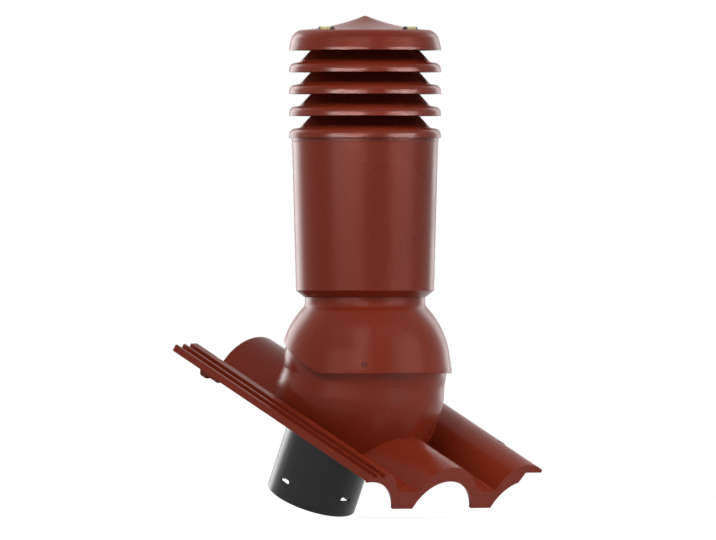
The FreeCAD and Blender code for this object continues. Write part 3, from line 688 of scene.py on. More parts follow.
def dressed(
    piece: bpy.types.Object,
    body: Body,
    slot: Slot,
    palette: Palette,
    nodes: Sequence[str] = (),
    place: Matrix | None = None,
) -> bpy.types.Object:
    """Place, smooth and colour a finished piece, and tie it to the model.

    Args:
        piece: The piece, with no modifiers.
        body: Body that it rides on.
        slot: Material slot of the record.
        palette: Materials.
        nodes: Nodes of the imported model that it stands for.
        place: Matrix from the piece's frame to the model, where it has one.

    Returns:
        The piece.
    """
    if place is not None:
        piece.data.transform(place)
    shape = bmesh.new()
    shape.from_mesh(piece.data)
    bmesh.ops.remove_doubles(shape, verts=shape.verts, dist=MERGE_DISTANCE)
    bmesh.ops.dissolve_degenerate(shape, edges=shape.edges, dist=MERGE_DISTANCE)
    shape.to_mesh(piece.data)
    shape.free()
    piece.data.shade_smooth()
    piece.data.set_sharp_from_angle(angle=SMOOTH_ANGLE)
    weighted = piece.modifiers.new("even_light", "WEIGHTED_NORMAL")
    weighted.keep_sharp = True
    baked(piece)
    piece.data.materials.clear()
    piece.data.materials.append(palette.material(slot))
    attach(piece, body.value)
    if nodes:
        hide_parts(*nodes)
    LOG.info("%s: %d faces", piece.name, len(piece.data.polygons))
    return piece


def smoothed_copy(node: str, name: str) -> bpy.types.Object:
    """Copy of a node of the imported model, with its loose triangles merged.

    Args:
        node: Name of the node.
        name: Name of the copy.

    Returns:
        The copy, as a new object.
    """
    shape = bmesh.new()
    shape.from_mesh(frame["nodes"][node].data)
    bmesh.ops.remove_doubles(shape, verts=shape.verts, dist=MERGE_DISTANCE)
    mesh = bpy.data.meshes.new(name)
    shape.to_mesh(mesh)
    shape.free()
    # Stored normals belong to the loose triangles, and would streak the merged faces.
    stale = mesh.attributes.get("custom_normal")
    if stale is not None:
        mesh.attributes.remove(stale)
    return mesh_object(name, mesh)


# Geometry Nodes


def node_group(name: str, inputs: Sequence[tuple[str, str]]) -> tuple[bpy.types.NodeTree, bpy.types.Node]:
    """Start a Geometry Nodes tree with a geometry output and named inputs.

    Args:
        name: Name of the tree.
        inputs: Pairs of input name and socket type, after the geometry.

    Returns:
        The tree and its Group Input node.
    """
    tree = bpy.data.node_groups.new(name, "GeometryNodeTree")
    tree.interface.new_socket("Geometry", in_out="INPUT", socket_type="NodeSocketGeometry")
    for label, kind in inputs:
        tree.interface.new_socket(label, in_out="INPUT", socket_type=kind)
    tree.interface.new_socket("Geometry", in_out="OUTPUT", socket_type="NodeSocketGeometry")
    return tree, add_node(tree, "NodeGroupInput")


def close_group(
    tree: bpy.types.NodeTree, source: bpy.types.NodeSocket, material: bpy.types.NodeSocket
) -> None:
    """Finish a tree with real geometry and its material.

    Args:
        tree: The tree.
        source: Output socket with the instances.
        material: Output socket with the material.
    """
    real = add_node(tree, "GeometryNodeRealizeInstances", links={"Geometry": source})
    painted = add_node(
        tree, "GeometryNodeSetMaterial", links={"Geometry": real.outputs["Geometry"], "Material": material}
    )
    add_node(tree, "NodeGroupOutput", links={0: painted.outputs["Geometry"]})


def run_group(piece: bpy.types.Object, tree: bpy.types.NodeTree, values: dict[str, Any]) -> bpy.types.Object:
    """Run a tree on a piece with its inputs set, and keep the plain mesh.

    Args:
        piece: Object that carries the tree's input geometry.
        tree: The tree.
        values: Input values by name.

    Returns:
        The piece.
    """
    modifier = piece.modifiers.new(tree.name, "NODES")
    modifier.node_group = tree
    for item in tree.interface.items_tree:
        if item.in_out == "INPUT" and item.name in values:
            modifier[item.identifier] = values[item.name]
    return baked(piece)


def ring_stack_tree() -> bpy.types.NodeTree:
    """Tree that repeats a ring upwards at an even pitch.

    Returns:
        The tree, with inputs Count, Pitch and Material.
    """
    inputs = [("Count", "NodeSocketInt"), ("Pitch", "NodeSocketFloat"), ("Material", "NodeSocketMaterial")]
    tree, given = node_group("ring_stack", inputs)
    step = add_node(tree, "ShaderNodeCombineXYZ", links={"Z": given.outputs["Pitch"]})
    line = add_node(
        tree,
        "GeometryNodeMeshLine",
        links={"Count": given.outputs["Count"], "Offset": step.outputs["Vector"]},
    )
    copies = add_node(
        tree,
        "GeometryNodeInstanceOnPoints",
        links={"Points": line.outputs["Mesh"], "Instance": given.outputs["Geometry"]},
    )
    close_group(tree, copies.outputs["Instances"], given.outputs["Material"])
    return tree


def screw_set_tree() -> bpy.types.NodeTree:
    """Tree that puts a screw on each point, its head turned to the point's own direction.

    Returns:
        The tree, with inputs Screw and Material. It reads the directions from the attribute "out".
    """
    tree, given = node_group("screw_set", [("Screw", "NodeSocketObject"), ("Material", "NodeSocketMaterial")])
    out = add_node(tree, "GeometryNodeInputNamedAttribute", {"data_type": "FLOAT_VECTOR"}, {"Name": "out"})
    turn = add_node(
        tree, "FunctionNodeAlignRotationToVector", {"axis": "Z"}, links={"Vector": out.outputs["Attribute"]}
    )
    screw = add_node(tree, "GeometryNodeObjectInfo", links={"Object": given.outputs["Screw"]})
    copies = add_node(
        tree,
        "GeometryNodeInstanceOnPoints",
        links={
            "Points": given.outputs["Geometry"],
            "Instance": screw.outputs["Geometry"],
            "Rotation": turn.outputs["Rotation"],
        },
    )
    close_group(tree, copies.outputs["Instances"], given.outputs["Material"])
    return tree


def screw_set(
    name: str, screw: bpy.types.Object, places: Sequence[tuple[Vector, Vector]], material: bpy.types.Material
) -> bpy.types.Object:
    """Put copies of one screw at several places.

    Args:
        name: Name of the piece.
        screw: The screw with its head's seat at the origin and its head up, used up here.
        places: Pairs of seat and direction out of the seat.
        material: Material of the screws.

    Returns:
        One mesh with all the screws.
    """
    mesh = bpy.data.meshes.new(name)
    mesh.from_pydata([seat for seat, _ in places], [], [])
    outs = mesh.attributes.new("out", "FLOAT_VECTOR", "POINT")
    for index, (_, direction) in enumerate(places):
        outs.data[index].vector = direction
    piece = run_group(mesh_object(name, mesh), screw_set_tree(), {"Screw": screw, "Material": material})
    bpy.data.objects.remove(screw)
    return piece


# Sub-assemblies


@dataclass
class Bell:
    """Bell that slides over the dome: sphere, flared lip, shoulder and neck."""

    palette: Palette
    radius: float = 116.8
    inner_radius: float = 112.3
    lip_radius: float = 118.8
    lip_wall: float = 3.9
    lip_z: float = -10.0
    flare_top: float = 10.6
    flare_foot: float = -5.0
    shoulder_z: float = 75.05
    hollow_radius: float = 14.0
    neck_radius: float = 82.3
    neck_wall: float = 3.0
    neck_top: float = 94.5
    cut_start: float = -28.0
    cut_angle: float = 25.0
    cut_rounding: float = 40.0
    screws: tuple[Point, ...] = ((225.0, 1.0), (315.0, 1.0), (90.0, 31.0))
    head_radius: float = 3.6
    head_depth: float = 1.4
    dimple: float = 0.9
    shank_radius: float = 1.9
    hole_radius: float = 2.1
    sink_radius: float = 3.8
    hole_reach: float = 6.0
    lip_edge: float = 0.7
    flare_edge: float = 3.0
    edge: float = 0.5
    far: float = 300.0

    def outline(self) -> list[Point]:
        """Section of the bell, with rounded edges.

        Returns:
            Closed run of (radius, height) points.
        """
        foot = math.degrees(math.acos(self.flare_top / self.radius))
        shoulder = math.degrees(math.acos(self.shoulder_z / self.radius))
        bore = self.neck_radius - self.neck_wall
        top = math.degrees(math.asin(bore / self.inner_radius))
        inner_foot = math.degrees(math.acos(-self.flare_foot / self.inner_radius))
        lip_inner = self.lip_radius - self.lip_wall
        outer = arc((0, 0), self.radius, foot, shoulder)
        inner = arc((0, 0), self.inner_radius, top, inner_foot)
        return eased(
            [
                (self.lip_radius, self.lip_z, self.lip_edge),
                (self.lip_radius, self.flare_foot, self.flare_edge),
                *outer,
                *self.hollow(),
                (self.neck_radius, self.neck_top, self.edge),
                (bore, self.neck_top, self.edge),
                *inner,
                (lip_inner, self.flare_foot),
                (lip_inner, self.lip_z, self.edge),
            ]
        )

    def hollow(self) -> list[Point]:
        """Curve between the shoulder and the neck, tangent to both.

        Returns:
            The points, from the shoulder to the neck.
        """
        across = self.neck_radius + self.hollow_radius
        reach = self.radius + self.hollow_radius
        hub = (across, math.sqrt(reach * reach - across * across))
        contact = math.degrees(math.atan2(hub[0], hub[1]))
        return arc(hub, self.hollow_radius, contact - 180, -90, 6)

    def cutout(self) -> bpy.types.Object:
        """Block that cuts the lip away on the uphill side.

        Returns:
            The block as a solid, in millimetres.
        """
        angle = math.radians(self.cut_angle)
        start = self.cut_start - self.cut_rounding * math.tan(angle / 2)
        hub = (start, self.lip_z + self.cut_rounding)
        curve = arc(hub, self.cut_rounding, 180, 180 - self.cut_angle, 1.5)
        far = (curve[-1][0] + math.cos(angle) * self.far, curve[-1][1] + math.sin(angle) * self.far)
        near = start - 2 * self.far
        outline = [*curve, far, (far[0], -self.far), (near, -self.far), (near, self.lip_z)]
        block = prism("cutout", outline, -self.far, 2 * self.far)
        block.data.transform(Matrix.Rotation(math.radians(90), 4, "Z"))
        return block

    def directions(self) -> list[Vector]:
        """Directions of the lock screws out of the swivel's centre.

        Returns:
            One direction of length one for each screw.
        """
        made = []
        for azimuth, elevation in self.screws:
            a, e = math.radians(azimuth), math.radians(elevation)
            made.append(Vector((math.cos(e) * math.cos(a), math.cos(e) * math.sin(a), math.sin(e))))
        return made

    def build(self) -> None:
        """Make the bell and its lock screws."""
        bell = turned("bell_over_dome", self.outline(), FULL_TURN_STEPS)
        combined(bell, "DIFFERENCE", [self.cutout()])
        seat = self.radius - self.dimple - self.head_depth
        narrow, wide, reach = self.hole_radius, self.sink_radius, self.hole_reach
        hole = [(0, -reach), (narrow, -reach), (narrow, 0), (wide, 0), (wide, reach), (0, reach)]
        combined(bell, "DIFFERENCE", [bar("hole", hole, out * seat, out) for out in self.directions()])
        dressed(bell, Body.FLUE, Slot.RED, self.palette, ["swivel_bell"], flue_place())
        self.build_screws(seat)

    def build_screws(self, seat: float) -> None:
        """Make the flush screws that lock the bell, with a cross recess in each head.

        Args:
            seat: Distance of the heads' seats from the swivel's centre.
        """
        depth = seat - self.inner_radius
        profile = eased(
            [
                (0, -depth),
                (self.shank_radius, -depth),
                (self.shank_radius, 0),
                (self.head_radius, 0),
                (self.head_radius, self.head_depth, self.edge),
                (0, self.head_depth),
            ]
        )
        screw = turned("lock_screw", profile, BAR_STEPS)
        blades = [cross_blade(self.head_depth, turn) for turn in (0.0, 90.0)]
        combined(screw, "DIFFERENCE", blades)
        places = [(out * seat, out) for out in self.directions()]
        screws = screw_set("bell_lock_screw_heads", screw, places, self.palette.material(Slot.SCREW_PAINT))
        dressed(screws, Body.FLUE, Slot.SCREW_PAINT, self.palette, ["bell_lock_screws"], flue_place())


def cross_blade(
    top: float, turn: float, length: float = 3.6, width: float = 0.8, depth: float = 0.9
) -> bpy.types.Object:
    """One blade of a cross recess in a screw head.

    Args:
        top: Height of the head's face.
        turn: Turn about the screw's axis, in degrees.
        length: Length of the blade.
        width: Width of the blade.
        depth: Depth of the recess.

    Returns:
        The blade as a solid.
    """
    half = length / 2
    foot = half * 0.6
    outline = [(-foot, top - depth), (foot, top - depth), (half, top + 1), (-half, top + 1)]
    blade = prism("blade", outline, -width / 2, width)
    blade.data.transform(Matrix.Rotation(math.radians(turn), 4, "Z"))
    return blade


@dataclass
class Shroud:
    """Tapered casing with a chamfered foot and a thin band at its top."""

    palette: Palette
    foot_radius: float = 83.5
    radius: float = 94.6
    chamfer_z: float = 103.4
    top_radius: float = 100.1
    band_z: float = 307.0
    band: float = 0.6
    top: float = 319.5
    wall: float = 3.0
    socket_radius: float = 79.0
    socket_foot: float = 84.0
    seat: float = 94.5
    socket_edge: float = 0.5
    foot_edge: float = 0.6
    chamfer_edge: float = 1.2
    band_edge: float = 0.4

    def inner_radius(self, height: float) -> float:
        """Inside radius of the tapered wall at a height."""
        taper = (self.top_radius - self.radius) / (self.band_z - self.chamfer_z)
        return self.radius - self.wall + taper * (height - self.chamfer_z)

    def build(self) -> None:
        """Make the casing."""
        inside = self.socket_radius - self.wall
        floor = self.seat + self.wall
        band = self.top_radius + self.band
        outline = eased(
            [
                (inside, self.socket_foot, self.socket_edge),
                (self.socket_radius, self.socket_foot, self.socket_edge),
                (self.socket_radius, self.seat),
                (self.foot_radius, self.seat, self.foot_edge),
                (self.radius, self.chamfer_z, self.chamfer_edge),
                (self.top_radius, self.band_z),
                (band, self.band_z + self.band, self.band_edge),
                (band, self.top, self.band_edge),
                (self.inner_radius(self.top), self.top),
                (self.inner_radius(self.chamfer_z), self.chamfer_z),
                (self.foot_radius - self.wall / 2, floor),
                (inside, floor),
            ]
        )
        casing = turned("flue_casing", outline, FULL_TURN_STEPS)
        dressed(casing, Body.FLUE, Slot.RED, self.palette, ["shroud"], flue_place())


@dataclass
class Louvres:
    """Stack of louvre rings on a collar, carried by posts."""

    palette: Palette
    base: float = 312.5
    pitch: float = 30.0
    count: int = 3
    lip_radius: float = 104.3
    lip_straight: float = 4.0
    lip_draft: float = 0.3
    corner: float = 9.0
    cone_foot: Point = (89.8, 13.7)
    cone_top: Point = (69.8, 34.8)
    wall: float = 2.4
    post_circle: float = 69.0
    post_radius: float = 4.0
    post_foot: float = 10.0
    bore_radius: float = 2.2
    sleeve_bottom: float = 300.0
    sleeve_radius: float = 96.5
    sleeve_wall: float = 2.5
    ledge_radius: float = 98.9
    ledge_z: float = 319.5
    collar_foot: float = 309.0
    lip_edge: float = 0.25
    brim_hollow: float = 2.0
    edge: float = 0.6

    def outline(self) -> list[Point]:
        """Section of a ring: drip lip, rounded brim and cone.

        Returns:
            Closed run of (radius, height) points, with the lip at height zero.
        """
        hub = (self.lip_radius - self.lip_draft - self.corner, self.lip_straight)
        inner = self.corner - self.wall
        slope = (self.cone_foot[0] - self.cone_top[0]) / (self.cone_top[1] - self.cone_foot[1])
        cone_wall = self.wall * math.hypot(1, slope)
        under = self.cone_foot[1] - self.wall
        inner_top = self.cone_top[0] - cone_wall
        inner_foot = inner_top + slope * (self.cone_top[1] - under)
        brim = arc(hub, self.corner, 90, 0, 6)
        return eased(
            [
                (self.lip_radius, 0, self.lip_edge),
                *brim,
                (*self.cone_foot, self.brim_hollow),
                (*self.cone_top, self.edge),
                (inner_top, self.cone_top[1], self.edge),
                (inner_foot, under),
                *arc(hub, inner, 0, 90, 6),
                (self.lip_radius - self.wall, 0, self.edge),
            ]
        )

    def ring(self, name: str, post_bottom: float) -> bpy.types.Object:
        """One ring with its lip at height zero and its four bored posts.

        Args:
            name: Name of the piece.
            post_bottom: Foot of the posts, from the lip.

        Returns:
            The solid, in millimetres.
        """
        piece = turned(name, self.outline(), RING_STEPS)
        top = self.post_foot + self.pitch
        places = quarter_places(self.post_circle)
        post = rod(self.post_radius, post_bottom, top)
        combined(piece, "UNION", [bar("post", post, place, UP) for place in places])
        bore = rod(self.bore_radius, post_bottom - 1, top + 1)
        return combined(piece, "DIFFERENCE", [bar("bore", bore, place, UP) for place in places])

    def build(self) -> None:
        """Make the collar and the rings above it."""
        collar = self.ring("louvre_collar_seat", self.collar_foot - self.base)
        collar.data.transform(Matrix.Translation((0, 0, self.base)))
        brim = self.base + self.lip_straight + self.corner - self.wall / 2
        inside = self.sleeve_radius - self.sleeve_wall
        sleeve = [
            (inside, self.sleeve_bottom),
            (self.sleeve_radius, self.sleeve_bottom),
            (self.sleeve_radius, self.ledge_z),
            (self.ledge_radius, self.ledge_z),
            (self.ledge_radius, brim),
            (inside, brim),
        ]
        combined(collar, "UNION", [turned("sleeve", sleeve, RING_STEPS)])
        dressed(collar, Body.FLUE, Slot.RED, self.palette, ["louvre_collar"], flue_place())
        rings = self.ring("louvre_rings", self.post_foot)
        run_group(
            rings,
            ring_stack_tree(),
            {"Count": self.count, "Pitch": self.pitch, "Material": self.palette.material(Slot.RED)},
        )
        rings.data.transform(Matrix.Translation((0, 0, self.base + self.pitch)))
        nodes = [f"louvre_ring_{index}" for index in range(1, self.count + 1)]
        dressed(rings, Body.FLUE, Slot.RED, self.palette, nodes, flue_place())


@dataclass
class Cap:
    """Conical cap cover with its two level vials."""

    palette: Palette
    lip_z: float = 432.5
    lip_radius: float = 104.3
    straight: float = 4.0
    draft: float = 0.3
    apex: float = 479.7
    tip_radius: float = 1.5
    middle: Point = (45.0, 466.3)
    edge: Point = (88.4, 460.3)
    shoulder: Point = (96.6, 455.7)
    side: Point = (101.3, 448.5)
    wall: float = 2.5
    post_circle: float = 69.0
    post_radius: float = 4.0
    post_foot: float = 442.5
    tie_end: float = 456.0
    vial_circle: float = 81.0
    vial_azimuths: tuple[float, float] = (185.0, 275.0)
    vial_radius: float = 3.6
    vial_length: float = 18.0
    end_length: float = 3.0
    vial_z: float = 461.0
    fit: float = 0.2
    cradle_wall: float = 2.2
    bore_radius: float = 2.2
    lip_edges: tuple[float, float] = (0.25, 0.6)
    vial_edge: float = 0.3
    end_edge: float = 0.5

    def form(self, inset: float) -> list[Point]:
        """One run of the cap's section, from the lip to the axis.

        Args:
            inset: Zero for the outer face, or how far inside it the run lies.

        Returns:
            The points, in order.
        """
        diagonal = inset / math.sqrt(2)
        side = (self.side[0] - inset, self.side[1])
        edge = (self.edge[0], self.edge[1] - inset)
        tip = (self.tip_radius, self.apex - inset)
        nearly = 0.9  # keeps the lip's rounding off the whole straight run
        return [
            (self.lip_radius - inset, self.lip_z),
            (self.lip_radius - nearly * self.draft - inset, self.lip_z + nearly * self.straight),
            (self.lip_radius - self.draft - inset, self.lip_z + self.straight),
            side,
            *through(side, (self.shoulder[0] - diagonal, self.shoulder[1] - diagonal), edge, 16),
            *through(edge, (self.middle[0], self.middle[1] - inset), tip, 32),
            (0, self.apex - inset),
        ]

    def vial_frame(self, azimuth: float) -> tuple[Vector, Vector]:
        """Middle of a vial and the direction along it.

        Args:
            azimuth: Direction of the vial from the axis, in degrees.

        Returns:
            The middle and the direction.
        """
        a = math.radians(azimuth)
        middle = Vector((self.vial_circle * math.cos(a), self.vial_circle * math.sin(a), self.vial_z))
        return middle, Vector((-math.sin(a), math.cos(a), 0))

    def vial_bar(
        self, name: str, azimuth: float, radius: float, start: float, length: float, round_by: float = 0.0
    ) -> bpy.types.Object:
        """Round bar along the cap's edge at a vial's place.

        Args:
            name: Name of the piece.
            azimuth: Direction of the vial from the axis, in degrees.
            radius: Radius of the bar.
            start: Its first end, from the vial's middle.
            length: Its length.
            round_by: Rounding of its ends.

        Returns:
            The bar as a solid, in millimetres.
        """
        middle, along = self.vial_frame(azimuth)
        outline = eased([(0, 0), (radius, 0, round_by), (radius, length, round_by), (0, length)])
        return bar(name, outline, middle + along * start, along)

    def build(self) -> None:
        """Make the cover and the vials.

        The shell, the mould and the posts are open at the axis (see turned), so none of the
        cover's booleans takes effect: it stays a plain shell, without the posts, the cradles
        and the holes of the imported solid. The same outlines lowered to height zero are closed.
        """
        outer, inner = self.form(0.0), self.form(self.wall)
        outside, inside = self.lip_edges
        shell = eased([(*outer[0], outside), *outer[1:], *reversed(inner[1:]), (*inner[0], inside)])
        cover = turned("cap_cover_shell", shell, FULL_TURN_STEPS)
        whole = self.vial_length + 2 * self.end_length + 2 * self.fit
        cradle = whole + 2 * self.cradle_wall
        posts = quarter_places(self.post_circle)
        post = rod(self.post_radius, self.post_foot, self.apex)
        round_vial = self.vial_radius + self.cradle_wall
        added = [self.vial_bar("cradle", a, round_vial, -cradle / 2, cradle) for a in self.vial_azimuths]
        added += [bar("post", post, place, UP) for place in posts]
        mould = [*self.form(self.wall / 2), (0, self.lip_z)]
        trimmed = [combined(piece, "INTERSECT", [turned("mould", mould, FULL_TURN_STEPS)]) for piece in added]
        combined(cover, "UNION", trimmed)
        bore = rod(self.bore_radius, self.post_foot - 1, self.tie_end)
        pocket = self.vial_radius + self.fit
        cuts = [self.vial_bar("pocket", a, pocket, -whole / 2, whole) for a in self.vial_azimuths]
        cuts += [bar("bore", bore, place, UP) for place in posts]
        combined(cover, "DIFFERENCE", cuts)
        dressed(cover, Body.FLUE, Slot.RED, self.palette, ["cap_cover"], flue_place())
        for side, azimuth in zip(("left", "eave"), self.vial_azimuths):
            self.build_vial(side, azimuth)

    def build_vial(self, side: str, azimuth: float) -> None:
        """Make one level vial with its black ends.

        Args:
            side: Side of the cap, as in the node's name.
            azimuth: Direction of the vial from the axis, in degrees.
        """
        radius, half, end = self.vial_radius, self.vial_length / 2, self.end_length
        vial = self.vial_bar(f"vial_{side}", azimuth, radius, -half, self.vial_length, self.vial_edge)
        dressed(vial, Body.FLUE, Slot.VIAL, self.palette, [f"level_vial_{side}"], flue_place())
        ends = self.vial_bar(f"vial_ends_{side}", azimuth, radius, -half - end, end, self.end_edge)
        other = self.vial_bar("other_end", azimuth, radius, half, end, self.end_edge)
        combined(ends, "UNION", [other])
        dressed(ends, Body.FLUE, Slot.VIAL_BLACK, self.palette, [f"vial_caps_{side}"], flue_place())


@dataclass
class Tile:
    """Roof tile with the swivel dome moulded into it, and the spigot below."""

    palette: Palette
    pitch_deg: float = 25.0
    wall: float = 3.0
    dome_radius: float = 112.0
    ledge_level: float = -12.0
    ledge_slope: float = 1.6
    ledge_lean_deg: float = 10.0
    skirt_radius: float = 114.3
    skirt_barrel: float = 210.0
    skirt_waist: float = -36.0
    skirt_downhill: float = 6.0
    blend: float = 26.0
    rise: tuple[float, float, float] = (1.6, -0.2, -0.4)
    reach_steps: int = 6
    grid: float = 5.0
    grid_steps: int = 4
    above: float = 1.0
    on_surface: float = 0.35

    def skirt_reach(self, out: Vector, inset: float) -> float:
        """Distance from the swivel's centre to the skirt in a direction.

        Args:
            out: Direction, of length one, in the model's frame.
            inset: Zero for the outer face, or the wall for the inner one.

        Returns:
            The distance in millimetres.
        """
        square = Matrix.Rotation(math.radians(-self.pitch_deg), 3, "X") @ out
        flat = square.x ** 2 + square.y ** 2
        shift = self.skirt_downhill
        reach = self.dome_radius
        for _ in range(self.reach_steps):
            height = reach * square.z - self.skirt_waist
            round_by = math.sqrt((self.skirt_barrel - inset) ** 2 - height ** 2)
            radius = self.skirt_radius - self.skirt_barrel + round_by
            middle = shift * square.y
            reach = (math.sqrt(middle ** 2 - flat * (shift ** 2 - radius ** 2)) - middle) / flat
        return reach

    def drop(self, out: Vector, inset: float) -> tuple[float, float]:
        """How far a direction is below the ledge's top edge, and where it meets the ledge.

        Args:
            out: Direction, of length one, in the model's frame.
            inset: Zero for the outer face, or the wall for the inner one.

        Returns:
            The drop along the dome and the distance to the ledge's sloping face.
        """
        level = Matrix.Rotation(math.radians(-self.ledge_lean_deg), 3, "X") @ out
        ball = self.dome_radius - inset
        top = self.ledge_level - inset
        below = ball * (math.asin(-level.z) - math.asin(-top / ball))
        across = math.hypot(level.x, level.y)
        return below, (top + self.dome_radius * self.ledge_slope) / (level.z + self.ledge_slope * across)

    def eased_reach(self, spoke: Vector) -> float | None:
        """New distance of a point on the ledge or close below it, outside or inside.

        Args:
            spoke: The point, from the swivel's centre, in millimetres.

        Returns:
            The distance, or None for a point that stays.
        """
        reach = spoke.length
        if not self.dome_radius - 2 * self.wall < reach < self.dome_radius + 5 * self.wall:
            return None
        out = spoke / reach
        for inset in (0.0, self.wall):
            below, face = self.drop(out, inset)
            if not -self.above < below < self.blend + 2 * self.grid:
                continue
            ball = self.dome_radius - inset
            skirt = self.skirt_reach(out, inset)
            moulded = max(ball, min(skirt, face)) if below > 0 else ball
            step = 1.5 * inset + self.on_surface if below <= 0 else 0.0
            if -self.on_surface < reach - moulded < self.on_surface + step:
                share = min(max(below / self.blend, 0.0), 1.0)
                steep, bend, flatten = self.rise
                step_out = max(skirt - ball, 0.0) * share
                return ball + step_out * (steep + bend * share + flatten * share * share)
        return None

    def soften_ledge(self, tile: bpy.types.Object) -> None:
        """Ease the step between dome and skirt into one smooth run, wall and all.

        Args:
            tile: Merged copy of the tile, changed here.
        """
        centre = swivel_centre()
        shape = bmesh.new()
        shape.from_mesh(tile.data)
        for _ in range(self.grid_steps):
            near = {v for v in shape.verts if self.eased_reach((v.co - centre) / MM)}
            long = [e for e in shape.edges if set(e.verts) <= near and e.calc_length() > self.grid * MM]
            if not long:
                break
            bmesh.ops.subdivide_edges(shape, edges=long, cuts=1)
        spokes = [(v, v.co - centre) for v in shape.verts]
        moves = [(v, spoke, self.eased_reach(spoke / MM)) for v, spoke in spokes]
        for vertex, spoke, reach in moves:
            if reach:
                vertex.co = centre + spoke.normalized() * reach * MM
        bmesh.ops.triangulate(shape, faces=shape.faces)
        shape.to_mesh(tile.data)
        shape.free()
        LOG.info("ledge eased over %d points", sum(1 for move in moves if move[2]))

    def build(self) -> None:
        """Make the tile and the spigot."""
        tile = smoothed_copy("roof_tile", "double_roll_tile")
        self.soften_ledge(tile)
        dressed(tile, Body.BASE, Slot.RED, self.palette, ["roof_tile"])
        pipe = smoothed_copy("duct_spigot", "spigot_pipe")
        dressed(pipe, Body.BASE, Slot.BLACK, self.palette, ["duct_spigot"])
        screws = smoothed_copy("spigot_screws", "spigot_screw_set")
        dressed(screws, Body.BASE, Slot.STEEL, self.palette, ["spigot_screws"])


@dataclass
class InnerPieces:
    """Duct, seal, foam and screws inside the flue, by node, with the slot that each takes."""

    palette: Palette
    slots: dict[str, Slot] = field(
        default_factory=lambda: {
            "duct_ball": Slot.BLACK,
            "ball_seal": Slot.SEAL,
            "inner_duct": Slot.BLACK,
            "neck_ring": Slot.BLACK,
            "insulation_half_left": Slot.FOAM,
            "insulation_half_right": Slot.FOAM,
            "closing_ring": Slot.BLACK,
            "tie_screws": Slot.STEEL,
        }
    )

    def build(self) -> None:
        """Dress a merged copy of each inner piece."""
        for node, slot in self.slots.items():
            dressed(smoothed_copy(node, f"{node}_inside"), Body.FLUE, slot, self.palette, [node])


# Studio


@dataclass(frozen=True)
class Softbox:
    """Flat lamp aimed at the vent, or a row of such lamps on an arc round it.

    Its angle is counted from the camera's side, positive to the right. Lengths are in metres, and
    target is the height above the swivel's centre that it is aimed at. A lamp shows in gloss, in
    plain light, or in both.
    """

    name: str
    side_deg: float
    distance: float
    height: float
    size: Point
    radiance: float
    spread_deg: float = 180.0
    target: float = 0.2
    count: int = 1
    step_deg: float = 0.0
    in_gloss: bool = True
    in_plain: bool = True

    def sides(self) -> list[float]:
        """Angles of the row's lamps from the camera's line, in degrees."""
        return [self.side_deg + self.step_deg * (i - (self.count - 1) / 2) for i in range(self.count)]


def grid_share(spread_deg: float) -> float:
    """Share of a bare lamp's power that gives a lamp with a grid the same brightness, head on."""
    half = math.radians(spread_deg) / 2
    return 1.0 if spread_deg >= 180 else 1 - half / math.tan(half)


